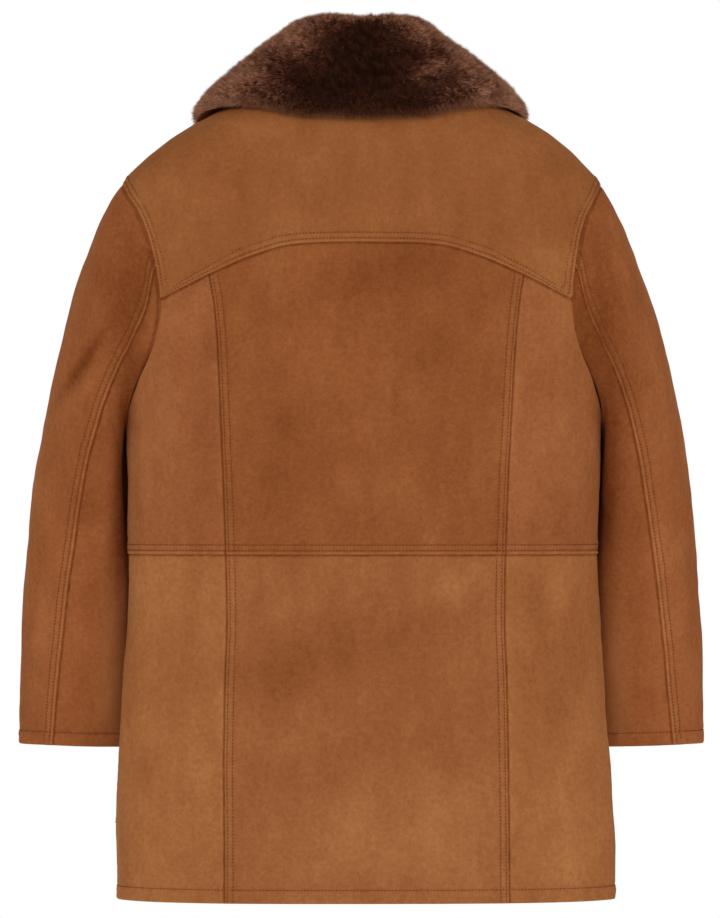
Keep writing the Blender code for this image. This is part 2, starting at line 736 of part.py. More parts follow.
def sleeve_ring_point(turn, along):
    angle = math.radians(turn)
    outer = Vector((SLEEVE.at("outer_x", along), 0.0, SLEEVE.at("outer_z", along)))
    inner = Vector((SLEEVE.at("inner_x", along), 0.0, SLEEVE.at("inner_z", along)))
    point = outer.lerp(inner, (1 - math.cos(angle)) / 2)
    point.y = SLEEVE.at("middle_y", along) + SLEEVE.at("half_depth", along) * math.sin(angle)
    point.x -= SLEEVE.at("bow", along) * math.sin(angle) ** 2
    return point


def off_the_body(point, share):
    """Press a sleeve's point out of the body's side, softly, so that it lies just clear of it."""
    width, depth = torso_sizes(point.z, point.y)
    inside = max(0.0, 1 - (abs(point.y) / depth) ** ROUNDNESS)
    limit = width * inside ** (1 / ROUNDNESS) + BODY_CLEARANCE
    short = limit - point.x
    pushed = (short + math.sqrt(short * short + PRESS_SOFTNESS ** 2)) / 2
    point.x += pushed * share
    return point


def sleeve_point(turn, along):
    """Point of the left sleeve's outer face: turn 0 is its outer line, 90 its back, 180 its inner line."""
    ring = sleeve_ring_point(turn, along)
    fade = max(0.0, 1 - along / HEAD_FADE) ** 2
    head = armhole_point(turn) - sleeve_ring_point(turn, 0.0)
    pressed = off_the_body(ring.copy(), 1.0)
    ring = ring.lerp(pressed, smooth_step((along - PRESS_START) / PRESS_BLEND))
    return ring + head * fade + Vector((ARMHOLE_GAP, 0.0, 0.0)) * fade


def sleeve_normal(turn, along):
    turn_step = 0.5
    along_step = 0.002
    low = max(along - along_step, 0.0)
    high = min(along + along_step, 1.0)
    round_ring = sleeve_point(turn + turn_step, along) - sleeve_point(turn - turn_step, along)
    down_arm = sleeve_point(turn, high) - sleeve_point(turn, low)
    return down_arm.cross(round_ring).normalized()


def armhole_stations():
    """Turns round the armhole where its facets meet, from the shoulder seam round the back to its start."""
    marks = (SHOULDER_SEAM, YOKE_CORNER, SIDE_SEAM_TOP + 360.0, SHOULDER_SEAM + 360.0)
    stations = []
    for start, end in zip(marks, marks[1:]):
        stations += [mix(start, end, i / ARMHOLE_STRETCH_ROWS) for i in range(ARMHOLE_STRETCH_ROWS)]
    return stations + [marks[-1]]


def sleeve_fold_depth(side, turn, along):
    depth = 0.0
    for fold in SLEEVE_FOLDS:
        if fold["side"] == side:
            apart = (turn - fold["turn"] + 180.0) % 360.0 - 180.0
            across = math.radians(apart) * SLEEVE_RADIUS
            depth += trough(fold, across, (along - fold["along"]) * SLEEVE_LENGTH)
    return depth


def sleeve_piece(name, head_turns, start_turn, end_turn, side, material):
    """A cut piece of the sleeve. Its columns start where the armhole's facets meet, and spread out evenly."""
    columns = len(head_turns) - 1
    head_margin = ARMHOLE_GAP / SLEEVE_LENGTH
    mirror = Vector((side, 1, 1))

    def face_points(across, up):
        along = mix(head_margin, 1.0, up)
        share = inset(across, SLEEVE_PIECE_WIDTH)
        even = mix(start_turn(along), end_turn(along), share)
        margin = (share - across) * (head_turns[-1] - head_turns[0])
        head = head_turns[round(across * columns)] + margin
        turn = mix(head, even, smooth_step(along / COLUMN_FADE))
        normal = sleeve_normal(turn, along)
        outer = sleeve_point(turn, along) - normal * sleeve_fold_depth(side, turn, along)
        inner = outer - normal * WALL
        return outer * mirror, inner * mirror

    wall_from_grid(name, columns, SLEEVE_ROW_COUNT, face_points, material)


def sleeve(label, side, material):
    stations = armhole_stations()
    facets = len(stations) - 1
    front_station = facets - SLEEVE_FRONT_SEAM_STEP
    top_turns = [turn - 360.0 for turn in stations[front_station:facets]]
    top_turns += stations[:SLEEVE_BACK_SEAM_STEP + 1]
    under_turns = stations[SLEEVE_BACK_SEAM_STEP:front_station + 1]

    def back_seam(along):
        return SLEEVE_SEAM.at("turn", along)

    def front_seam(along):
        return top_turns[0]

    def front_seam_from_inside(along):
        return top_turns[0] + 360.0

    sleeve_piece(f"sleeve_top_{label}", top_turns, front_seam, back_seam, side, material)
    sleeve_piece(f"sleeve_under_{label}", under_turns, back_seam, front_seam_from_inside, side, material)


# ---------------------------------------------------------------- collar

def collar_seam_start(reading):
    """Where the stand's hide starts: just past the coat's neck edge, towards the middle of the neck."""
    seam = neck_point(reading)
    normal = torso_normal(seam)
    neck_line = neck_point(reading + 1.0) - neck_point(reading - 1.0)
    inward = normal.cross(neck_line).normalized()
    if inward.dot(Vector((-seam.x, -seam.y, 0.03))) < 0:
        inward = -inward
    return seam - normal * COLLAR_SEAM_DROP + inward * COLLAR_SEAM_GAP


def collar_hide_point(turn, up):
    """The hide's line across the collar: up the stand, round the fold and down to the leaf's edge."""
    reading = min(turn, 360.0 - turn)
    angle = math.radians(reading)
    up_axis = Vector((0.0, 0.0, 1.0))
    away = Vector((math.sin(angle) / FOLD_HALF_WIDTH, -math.cos(angle) / FOLD_HALF_DEPTH, 0.0)).normalized()
    fold_x = FOLD_HALF_WIDTH * math.sin(angle)
    fold_y = FOLD_MIDDLE_Y - FOLD_HALF_DEPTH * math.cos(angle)
    middle = Vector((fold_x, fold_y, COLLAR.at("fold_z", reading) - FOLD_RADIUS))
    edge = shoulder_point(COLLAR.at("edge_x", reading), COLLAR.at("edge_rise", reading))
    edge += torso_normal(edge) * COLLAR.at("edge_lift", reading)
    slope = edge - middle
    leave_angle = math.atan2(slope.dot(away), -slope.z)

    def round_fold(fold_angle):
        return middle + (away * math.cos(fold_angle) + up_axis * math.sin(fold_angle)) * FOLD_RADIUS

    if up <= STAND_SHARE:
        point = collar_seam_start(reading).lerp(round_fold(math.pi), up / STAND_SHARE)
    elif up <= FOLD_SHARE:
        share = (up - STAND_SHARE) / (FOLD_SHARE - STAND_SHARE)
        point = round_fold(mix(math.pi, leave_angle, share))
    else:
        share = (up - FOLD_SHARE) / (1 - FOLD_SHARE)
        leaf_top = round_fold(leave_angle)
        bulge = away * math.cos(leave_angle) + up_axis * math.sin(leave_angle)
        point = leaf_top.lerp(edge, share) + bulge * COLLAR.at("leaf_bow", reading) * 4 * share * (1 - share)
    sign = 1.0 if turn <= 180.0 else -1.0
    return point * Vector((sign, 1, 1))


def quarter_round(share):
    """Rises from 0 to 1 like a quarter of a circle, and stays at 1."""
    left = 1 - min(max(share, 0.0), 1.0)
    return math.sqrt(1 - left * left)


def collar_depth(across, up):
    """Depth of hide and fur: thin at the neck seam, full over the fold, rounded off at the edges."""
    full = mix(STAND_THICKNESS, STAND_FUR_DEPTH, smooth_step(up / STAND_SHARE))
    full = mix(full, FUR_DEPTH, smooth_step((up - STAND_SHARE) / (FUR_FULL_SHARE - STAND_SHARE)))
    to_edge = quarter_round((1 - up) / FUR_EDGE_ROUNDING)
    to_end = quarter_round(min(across, 1 - across) / FUR_END_ROUNDING)
    return mix(min(FUR_EDGE_DEPTH, full), full, to_edge * to_end)


def collar(material):
    first_turn = COLLAR_ROWS[0][0]
    share_step = 0.004

    def hide_point(across, up):
        return collar_hide_point(mix(first_turn, 360.0 - first_turn, across), up)

    def face_points(across, up):
        low = max(up - share_step, 0.0)
        high = min(up + share_step, 1.0)
        left = max(across - share_step, 0.0)
        right = min(across + share_step, 1.0)
        point = hide_point(across, up)
        up_line = hide_point(across, high) - hide_point(across, low)
        round_line = hide_point(right, up) - hide_point(left, up)
        outward = up_line.cross(round_line).normalized()
        return point, point + outward * collar_depth(across, up)

    wall_from_grid("collar", COLLAR_COLUMN_COUNT, COLLAR_ROW_COUNT, face_points, material)


def clear_scene():
    for item in list(bpy.data.objects):
        bpy.data.objects.remove(item, do_unlink=True)


clear_scene()
COAT = bpy.data.collections.new("shearling_coat")
bpy.context.scene.collection.children.link(COAT)


def main():
    suede = make_material("suede", SUEDE, 0.92)
    fur = make_material("fur", FUR, 0.85)
    horn = make_material("horn", HORN, 0.45)
    yoke(suede)
    centre_back_upper(suede)
    centre_back_lower(suede)
    for label, side in (("left", 1), ("right", -1)):
        side_back_upper(label, side, suede)
        side_back_lower(label, side, suede)
        front(label, side, suede)
        sleeve(label, side, suede)
    collar(fur)
    for number, height in enumerate(BUTTON_HEIGHTS, start=1):
        button(number, height, horn)


main()
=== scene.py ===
"""How the shearling coat looks: suede pieces with lapped seams and stitching, a fur collar, horn buttons.

Metres, +Z up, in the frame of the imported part. The coat faces -Y, and +X is its wearer's left. Every suede
piece is a fine shell on the form of the solid that it replaces, worked out from the same named tables.
"""

import math

import bpy
import numpy as np
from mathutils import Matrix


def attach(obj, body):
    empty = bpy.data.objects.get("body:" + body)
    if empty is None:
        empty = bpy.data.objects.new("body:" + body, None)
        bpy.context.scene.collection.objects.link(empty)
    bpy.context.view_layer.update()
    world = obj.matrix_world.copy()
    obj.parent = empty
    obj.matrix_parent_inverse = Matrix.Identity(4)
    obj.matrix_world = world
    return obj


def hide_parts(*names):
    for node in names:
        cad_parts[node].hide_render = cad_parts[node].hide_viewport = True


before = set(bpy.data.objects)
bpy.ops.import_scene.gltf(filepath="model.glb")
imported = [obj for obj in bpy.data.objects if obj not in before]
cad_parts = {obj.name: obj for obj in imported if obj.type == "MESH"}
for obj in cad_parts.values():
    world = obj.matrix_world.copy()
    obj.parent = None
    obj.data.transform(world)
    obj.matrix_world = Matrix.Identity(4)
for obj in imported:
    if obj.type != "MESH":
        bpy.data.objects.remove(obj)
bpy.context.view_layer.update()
SEED = 20

# ---------------------------------------------------------------- form of the coat, as in its solids

WALL = 0.004

TORSO_COLUMNS = ("height", "half_width", "back_depth", "front_depth")
TORSO_ROWS = (
    (0.075, 0.020, 0.030, 0.030),
    (0.058, 0.058, 0.055, 0.055),
    (0.045, 0.083, 0.064, 0.066),
    (0.030, 0.105, 0.072, 0.074),
    (0.018, 0.127, 0.077, 0.079),
    (0.006, 0.152, 0.081, 0.083),
    (-0.0125, 0.188, 0.087, 0.089),
    (-0.030, 0.211, 0.092, 0.094),
    (-0.044, 0.2267, 0.095, 0.098),
    (-0.0686, 0.2465, 0.100, 0.104),
    (-0.100, 0.250, 0.105, 0.110),
    (-0.145, 0.252, 0.112, 0.117),
    (-0.200, 0.254, 0.117, 0.122),
    (-0.262, 0.255, 0.118, 0.124),
    (-0.290, 0.2515, 0.1175, 0.123),
    (-0.318, 0.2465, 0.1165, 0.122),
    (-0.350, 0.2455, 0.115, 0.120),
    (-0.4524, 0.2430, 0.110, 0.116),
    (-0.517, 0.2449, 0.112, 0.118),
    (-0.576, 0.2491, 0.115, 0.120),
    (-0.653, 0.2548, 0.118, 0.122),
    (-0.709, 0.2579, 0.120, 0.123),
    (-0.764, 0.2590, 0.121, 0.124),
    (-0.830, 0.2590, 0.121, 0.124),
)
ROUNDNESS = 2.5
CHEST_HEIGHT = -0.20
HEM_HEIGHT = -0.8120
HEM_CORNER_RISE = 0.0010
WAIST_SEAM = -0.4524
SIDE_SEAM_TURN = -10.0
LONGEST_RAY = 0.45
RAY_HALVINGS = 30

PRINCESS_COLUMNS = ("height", "half_width")
PRINCESS_ROWS = (
    (-0.150, 0.1645),
    (-0.190, 0.1578),
    (-0.241, 0.1534),
    (-0.310, 0.1495),
    (-0.405, 0.1456),
    (-0.517, 0.1430),
    (-0.585, 0.1451),
    (-0.688, 0.1466),
    (-0.830, 0.1466),
)
PRINCESS_TOP = -0.163

YOKE_COLUMNS = ("from_centre", "height")
YOKE_ROWS = (
    (0.000, -0.1302),
    (0.045, -0.1308),
    (0.075, -0.1328),
    (0.1175, -0.1446),
    (0.163, -0.1643),
    (0.2140, -0.1893),
)

ARMHOLE_TOP = -0.0690
ARMHOLE_BOTTOM = -0.3180
ARMHOLE_BACK_TURN = 36.6
ARMHOLE_FRONT_TURN = 39.0
ARMHOLE_LOWER_EASE = 1.45
YOKE_CORNER = 88.0
SHOULDER_SEAM = -34.0
SIDE_SEAM_TOP = -157.0

NECK_HALF_WIDTH = 0.083
NECK_BACK_RISE = 72.6
NECK_FRONT_RISE = 127.0
NECK_SEAM_TURN = 76.0
NECK_YOKE_TURN = 128.0

OVERLAP = 0.036
OVERLAP_END = OVERLAP + 0.008
OVERLAP_BLEND = 0.055
OVERLAP_LIFT = WALL + 0.0014

BUTTON_RADIUS = 0.0125
BUTTON_THICKNESS = 0.0040
BUTTON_GAP = 0.0006
BUTTON_HEIGHTS = (-0.155, -0.285, -0.415, -0.545)

SLEEVE_COLUMNS = (
    "along", "outer_x", "outer_z", "inner_x", "inner_z", "middle_y", "half_depth", "bow",
)
SLEEVE_ROWS = (
    (0 / 12, 0.2465, -0.0690, 0.2465, -0.3180, 0.000, 0.0770, 0.032),
    (1 / 12, 0.2700, -0.1060, 0.2480, -0.3235, -0.004, 0.0775, 0.020),
    (2 / 12, 0.2850, -0.1460, 0.2460, -0.3300, -0.010, 0.0775, 0.009),
    (3 / 12, 0.3015, -0.1900, 0.2430, -0.3400, -0.017, 0.0760, 0.003),
    (4 / 12, 0.3155, -0.2400, 0.2400, -0.3550, -0.026, 0.0740, 0.000),
    (5 / 12, 0.3262, -0.2880, 0.2375, -0.3760, -0.036, 0.0720, 0.000),
    (6 / 12, 0.3348, -0.3320, 0.2350, -0.4020, -0.046, 0.0700, 0.000),
    (7 / 12, 0.3423, -0.3820, 0.2335, -0.4350, -0.056, 0.0680, 0.000),
    (8 / 12, 0.3483, -0.4350, 0.2325, -0.4750, -0.065, 0.0655, 0.000),
    (9 / 12, 0.3532, -0.4900, 0.2330, -0.5200, -0.073, 0.0630, 0.000),
    (10 / 12, 0.3563, -0.5450, 0.2340, -0.5670, -0.080, 0.0605, 0.000),
    (11 / 12, 0.3579, -0.6015, 0.2360, -0.6140, -0.086, 0.0575, 0.000),
    (12 / 12, 0.3590, -0.6525, 0.2385, -0.6560, -0.091, 0.0550, 0.000),
)
SLEEVE_LENGTH = 0.58
HEAD_FADE = 0.34
COLUMN_FADE = 0.14
BODY_CLEARANCE = 0.0035
PRESS_SOFTNESS = 0.0030
PRESS_START = 0.02
PRESS_BLEND = 0.12
ARMHOLE_GAP = 0.0009

SLEEVE_SEAM_COLUMNS = ("along", "turn")
SLEEVE_SEAM_ROWS = (
    (0.00, 168.0),
    (0.03, 143.0),
    (0.065, 114.0),
    (0.10, 101.5),
    (0.14, 99.3),
    (0.17, 100.1),
    (0.21, 100.8),
    (0.28, 100.0),
    (0.335, 97.6),
    (0.40, 93.2),
    (0.478, 87.8),
    (0.56, 84.0),
    (0.62, 81.0),
    (0.68, 78.2),
    (0.75, 74.9),
    (0.82, 71.9),
    (0.885, 69.0),
    (0.95, 66.0),
    (1.00, 64.5),
)

# Facets on each stretch of a seam in the solids: they fix where the pieces' columns and rows run.
HALF_CENTRE_COLUMNS = 6
SIDE_BACK_COLUMNS = 8
YOKE_ROW_COUNT = 8
BELOW_WAIST_ROWS = 9
SIDE_SEAM_ROWS = 4
ARMHOLE_STRETCH_ROWS = 8
NECK_COLUMNS = 6
SLEEVE_BACK_SEAM_STEP = 7
SLEEVE_FRONT_SEAM_STEP = 5

COLLAR_COLUMNS = (
    "turn", "fold_z", "edge_x", "edge_rise", "leaf_bow", "edge_lift",
)
COLLAR_ROWS = (
    (14.0, -0.0340, 0.1080, 137.0, 0.003, 0.0105),
    (30.0, -0.0140, 0.1370, 128.0, 0.003, 0.0095),
    (50.0, 0.0210, 0.1580, 114.0, 0.002, 0.0070),
    (70.0, 0.0555, 0.1655, 101.0, 0.000, 0.0045),
    (90.0, 0.0735, 0.1580, 89.2, 0.000, 0.0035),
    (110.0, 0.0845, 0.1390, 80.1, 0.002, 0.0035),
    (130.0, 0.0893, 0.1090, 73.6, 0.004, 0.0035),
    (155.0, 0.0910, 0.0570, 68.5, 0.005, 0.0035),
    (180.0, 0.0895, 0.0000, 67.7, 0.005, 0.0035),
)
FOLD_HALF_WIDTH = 0.066
FOLD_HALF_DEPTH = 0.098
FOLD_MIDDLE_Y = -0.016
FOLD_RADIUS = 0.0035
STAND_SHARE = 0.26
FOLD_SHARE = 0.60
COLLAR_LEAN = 0.0026        # how far the collar's leaf lies over to the coat's left
COLLAR_SEAM_GAP = 0.0014
COLLAR_SEAM_DROP = 0.0016
STAND_THICKNESS = 0.0060
STAND_FUR_DEPTH = 0.0095
FUR_DEPTH = 0.0215
FUR_EDGE_DEPTH = 0.0070
FUR_FULL_SHARE = 0.65
FUR_EDGE_ROUNDING = 0.13
FUR_END_ROUNDING = 0.07

NORMAL_STEP = 0.0002

# ---------------------------------------------------------------- soft folds

# The first rows are the solids' folds, and the rest are finer creases. A negative depth is a ridge.
SLEEVE_FOLD_COLUMNS = ("side", "along", "turn", "slant", "half_length", "half_width", "depth")
SLEEVE_FOLD_ROWS = (
    (1, 0.33, 60.0, -22.0, 0.046, 0.0080, 0.0034),
    (1, 0.49, -72.0, 52.0, 0.048, 0.0130, 0.0052),
    (1, 0.57, -88.0, -38.0, 0.044, 0.0120, 0.0044),
    (1, 0.66, -70.0, 60.0, 0.036, 0.0110, 0.0030),
    (-1, 0.41, 64.0, -18.0, 0.046, 0.0150, 0.0030),
    (-1, 0.52, -80.0, 47.0, 0.050, 0.0130, 0.0048),
    (-1, 0.61, -66.0, -44.0, 0.042, 0.0120, 0.0040),
    (1, 0.33, 38.0, -30.0, 0.050, 0.0110, -0.0012),
    (1, 0.62, 62.0, 46.0, 0.034, 0.0080, 0.0011),
    (1, 0.80, 40.0, -52.0, 0.040, 0.0090, 0.0009),
    (1, 0.30, 118.0, 24.0, 0.036, 0.0090, 0.0016),
    (1, 0.46, -20.0, 34.0, 0.042, 0.0100, 0.0014),
    (1, 0.43, -110.0, 48.0, 0.034, 0.0085, 0.0020),
    (1, 0.74, -118.0, -40.0, 0.034, 0.0085, 0.0016),
    (1, 0.12, -58.0, 20.0, 0.040, 0.0110, 0.0014),
    (-1, 0.29, 96.0, 22.0, 0.026, 0.0060, 0.0019),
    (-1, 0.35, 34.0, 26.0, 0.048, 0.0110, -0.0010),
    (-1, 0.58, 60.0, -48.0, 0.036, 0.0085, 0.0012),
    (-1, 0.77, 52.0, 44.0, 0.042, 0.0095, 0.0009),
    (-1, 0.44, -30.0, -36.0, 0.040, 0.0100, 0.0015),
    (-1, 0.45, -112.0, -44.0, 0.036, 0.0085, 0.0019),
    (-1, 0.71, -96.0, 42.0, 0.036, 0.0090, 0.0018),
    (-1, 0.14, -62.0, -18.0, 0.038, 0.0110, 0.0013),
    (1, 0.20, 4.0, 0.0, 0.095, 0.0500, -0.0030),
    (-1, 0.20, 4.0, 0.0, 0.075, 0.0450, 0.0030),
    (1, 0.38, 180.0, 0.0, 0.130, 0.0180, -0.0042),
    (-1, 0.38, 180.0, 0.0, 0.130, 0.0180, -0.0042),
    (1, 0.09, 180.0, 0.0, 0.070, 0.0400, -0.0052),
    (-1, 0.09, 180.0, 0.0, 0.070, 0.0400, -0.0052),
)
SLEEVE_RADIUS = 0.064

# How much further out the worn coat stands than its solids, on its left and on its right.
OUTLINE_COLUMNS = ("height", "left", "right")
OUTLINE_ROWS = (
    (0.040, 0.0, 0.0),
    (-0.010, -0.0030, 0.0),
    (-0.033, -0.0008, -0.0018),
    (-0.056, 0.0030, -0.0030),
    (-0.078, 0.0030, -0.0014),
    (-0.100, 0.0010, -0.0020),
    (-0.160, 0.0002, 0.0012),
    (-0.200, -0.0018, 0.0010),
    (-0.260, -0.0010, 0.0010),
    (-0.310, 0.0004, 0.0014),
    (-0.360, 0.0014, 0.0004),
    (-0.640, 0.0, 0.0),
    (-0.700, -0.0008, 0.0010),
    (-0.745, -0.0019, 0.0024),
    (-0.830, -0.0030, 0.0033),
)
OUTLINE_FROM = 0.12         # the middle of the coat stays where it is
OUTLINE_BLEND = 0.07

TORSO_FOLD_COLUMNS = ("face", "x", "height", "slant", "half_length", "half_width", "depth")
TORSO_FOLD_ROWS = (
    (-1, 0.182, -0.300, -42.0, 0.060, 0.0150, 0.0040),
    (-1, -0.176, -0.318, 38.0, 0.066, 0.0150, 0.0036),
    (-1, 0.150, -0.480, 12.0, 0.080, 0.0180, 0.0026),
    (1, 0.186, -0.330, 33.0, 0.046, 0.0140, 0.0022),
    (1, -0.052, -0.398, -14.0, 0.026, 0.0042, 0.0009),
    (1, -0.070, -0.392, 22.0, 0.028, 0.0045, 0.0007),
    (1, -0.120, -0.415, 68.0, 0.040, 0.0060, 0.0008),
    (1, 0.060, -0.560, 74.0, 0.070, 0.0100, 0.0009),
    (1, -0.020, -0.610, -70.0, 0.080, 0.0110, 0.0009),
    (1, 0.196, -0.520, 15.0, 0.060, 0.0110, 0.0010),
    (1, -0.200, -0.560, -12.0, 0.070, 0.0120, 0.0011),
    (1, -0.176, -0.352, -28.0, 0.044, 0.0110, 0.0014),
    (-1, 0.135, -0.345, -50.0, 0.050, 0.0100, 0.0016),
    (-1, -0.128, -0.360, 46.0, 0.052, 0.0100, 0.0015),
    (-1, 0.205, -0.445, -14.0, 0.060, 0.0120, 0.0018),
    (-1, -0.200, -0.470, 12.0, 0.070, 0.0120, 0.0017),
    (-1, -0.120, -0.620, -8.0, 0.090, 0.0140, 0.0014),
    (-1, 0.180, -0.690, 6.0, 0.080, 0.0140, 0.0013),
)

# Where the suede is lighter (above 0) or darker (below 0), on the back (1) and on the front (-1): patches
# where the nap is rubbed or lies dark, and painted shade and painted light. The strongest tones lie on the
# sleeves,
# beside the body: painted shade where the body shades them, under the arm and in their creases and tucks,
# and painted light lower down, against the shadow of the body.
NAP_AND_SHADING_COLUMNS = ("x", "height", "slant", "half_length", "half_width", "tone")
NAP_AND_SHADING_ROWS = {
    ("body", 1): (
        (0.020, -0.030, 80.0, 0.080, 0.030, 0.06),
        (0.110, -0.090, 30.0, 0.050, 0.022, -0.07),
        (-0.080, -0.075, -50.0, 0.060, 0.030, -0.04),
        (-0.190, -0.144, -75.0, 0.022, 0.009, 0.14),
        (-0.040, -0.158, 80.0, 0.090, 0.034, -0.22),
        (-0.090, -0.215, 10.0, 0.060, 0.030, -0.10),
        (0.060, -0.240, 20.0, 0.070, 0.040, -0.05),
        (0.095, -0.360, 0.0, 0.060, 0.035, -0.12),
        (-0.010, -0.385, 88.0, 0.060, 0.028, 0.11),
        (-0.150, -0.290, 2.0, 0.120, 0.009, 0.10),
        (0.222, -0.300, 0.0, 0.130, 0.032, 0.13),
        (0.178, -0.205, 20.0, 0.034, 0.022, 0.14),
        (0.160, -0.300, -2.0, 0.100, 0.018, -0.10),
        (-0.200, -0.300, 4.0, 0.120, 0.032, 0.08),
        (0.222, -0.505, 0.0, 0.050, 0.022, 0.14),
        (0.185, -0.715, 0.0, 0.110, 0.070, 0.02),
        (0.105, -0.520, 20.0, 0.045, 0.020, -0.09),
        (0.090, -0.512, 55.0, 0.022, 0.012, 0.12),
        (-0.090, -0.484, 65.0, 0.046, 0.013, 0.14),
        (0.035, -0.550, 70.0, 0.110, 0.036, -0.25),
        (0.075, -0.705, 20.0, 0.070, 0.045, -0.07),
        (-0.050, -0.750, 82.0, 0.120, 0.055, 0.15),
        (-0.176, -0.525, 3.0, 0.065, 0.021, -0.13),
        (-0.205, -0.745, 10.0, 0.080, 0.055, 0.12),
        (-0.206, -0.556, 5.0, 0.060, 0.032, -0.14),
        (-0.160, -0.700, 0.0, 0.070, 0.025, -0.06),
    ),
    ("body", -1): (
        (0.090, -0.200, 20.0, 0.110, 0.050, -0.10),
        (-0.110, -0.260, -15.0, 0.120, 0.050, 0.10),
        (0.140, -0.420, 8.0, 0.130, 0.040, 0.10),
        (-0.060, -0.440, 70.0, 0.080, 0.035, -0.08),
        (0.030, -0.700, 80.0, 0.120, 0.060, 0.13),
        (-0.170, -0.660, 5.0, 0.100, 0.050, 0.09),
        (0.185, -0.600, -6.0, 0.090, 0.030, -0.09),
    ),
    ("sleeve", 1): (
        (0.243, -0.165, 12.0, 0.095, 0.034, -0.40),
        (0.2933, -0.2579, 33.0, 0.038, 0.0062, -0.52),
        (0.2845, -0.2745, 33.0, 0.032, 0.0075, 0.16),
        (0.296, -0.413, 60.0, 0.036, 0.022, -0.16),
        (0.322, -0.500, 4.0, 0.080, 0.020, 0.07),
        (0.283, -0.560, 0.0, 0.080, 0.014, -0.07),
        (-0.244, -0.190, -12.0, 0.110, 0.034, -0.36),
        (-0.262, -0.345, -5.0, 0.100, 0.020, -0.20),
        (-0.298, -0.250, -14.0, 0.070, 0.020, 0.06),
        (-0.310, -0.460, -3.0, 0.062, 0.013, 0.17),
        (-0.290, -0.420, 0.0, 0.060, 0.016, -0.08),
        (-0.2262, -0.205, -11.0, 0.018, 0.0045, -0.70),
        (0.298, -0.385, 5.0, 0.060, 0.022, -0.14),
        (-0.300, -0.600, 0.0, 0.090, 0.060, -0.05),
        (0.2520, -0.610, 0.0, 0.120, 0.0270, 0.66),
        (-0.2560, -0.585, -3.0, 0.120, 0.0200, 0.66),
        (-0.3250, -0.560, -4.0, 0.110, 0.0200, 0.12),
        (0.2330, -0.275, 24.0, 0.034, 0.0085, -0.60),
        (-0.2360, -0.255, -17.0, 0.048, 0.0080, -0.60),
        (0.2465, -0.345, 3.0, 0.095, 0.0105, -0.85),
        (-0.2485, -0.345, -3.0, 0.100, 0.0105, -0.85),
    ),
    ("sleeve", -1): (
        (0.2455, -0.350, 3.0, 0.110, 0.0085, -0.75),
        (-0.2475, -0.350, -3.0, 0.110, 0.0085, -0.75),
        (0.300, -0.300, 12.0, 0.110, 0.022, 0.10),
        (-0.310, -0.420, -6.0, 0.110, 0.022, 0.10),
        (0.262, -0.200, 15.0, 0.090, 0.028, -0.18),
        (-0.262, -0.210, -15.0, 0.090, 0.028, -0.18),
    ),
}
NAP_MIDDLE = 0.5

# Lighter and darker places of the collar's fur, as with the nap.
WOOL_COLUMNS = ("face", "x", "height", "slant", "half_length", "half_width", "tone")
WOOL_ROWS = (
    (1, -0.062, 0.043, 62.0, 0.030, 0.011, 0.28),
    (1, -0.074, 0.062, 62.0, 0.020, 0.009, -0.14),
    (1, 0.066, 0.037, -60.0, 0.020, 0.008, -0.06),
    (1, 0.072, 0.072, -50.0, 0.014, 0.008, 0.10),
    (-1, 0.075, -0.010, -40.0, 0.030, 0.014, 0.16),
    (-1, -0.085, -0.025, 50.0, 0.034, 0.014, 0.18),
    (-1, -0.060, 0.030, 30.0, 0.030, 0.012, -0.12),
)

# ---------------------------------------------------------------- seams

# Distances from a seam, in metres, where the shells have lines of points.
OVER_STEPS = (0.0, 0.0007, 0.0015, 0.0024, 0.0034, 0.0044, 0.0062, 0.0080, 0.0093, 0.0106, 0.0140, 0.0190)
UNDER_STEPS = (0.0, 0.0009, 0.0020, 0.0036, 0.0065, 0.0110)
HEM_STEPS = (0.0, 0.0006, 0.0015, 0.0032, 0.0060, 0.0100, 0.0128, 0.0140, 0.0152, 0.0180)
GRID_SPACING = 0.0062
INNER_SPACING = 0.014
MAP_STEPS = 140             # least number of steps of a piece's map of lengths, each way
FIRST_ROW = 0.0034          # the two rows of stitches beside a seam
SECOND_ROW = 0.0093
HEM_ROW = 0.0140
ROW_DIP = 0.00055           # how far stitches pull the suede in
LAP_RISE = 0.0006           # how much higher a lapped piece stands beside the seam
LAP_BEAD = 0.00055          # and the rounded bead of its turned edge
LAP_TURN = 0.0007           # how far the very edge turns down past the seam
LAP_OVERHANG = 0.0010       # how far a lapped piece reaches over the seam
UNDER_REACH = 0.0030        # and how far the piece below it goes on
UNDERARM_REACH = 0.0080     # the same for the lower half of a sleeve's head, which closes the armhole
UNDER_DROP = 0.0006
GROOVE = 0.0013             # depth of a seam with no lap
GROOVE_REACH = 0.0002
CUT_EDGE = 0.0014           # thickness of the cut edge of a lapped piece
PUCKER_DEPTH = 0.00045
PUCKER_HALF_WIDTH = 0.010
# Uneven fields, each part as (amount, wavelength, seed).
UNDULATION = ((0.0006, 0.070, 1), (0.00018, 0.024, 2))
PUCKER_WAVES = (1.0, 0.011, 3)
SEAM_SHADING_FLECKS = (0.35, 0.006, 4)

STITCH_PITCH = 0.0036
STITCH_LENGTH = 0.0019
STITCH_RADIUS = 0.00052
STITCH_RISE = 0.6           # how high its middle lies over the suede, in radii
STITCH_SIDES = 4
FRONT_ROW_TOP = 0.97        # where the stitches along a front's edge end, below its neck seam


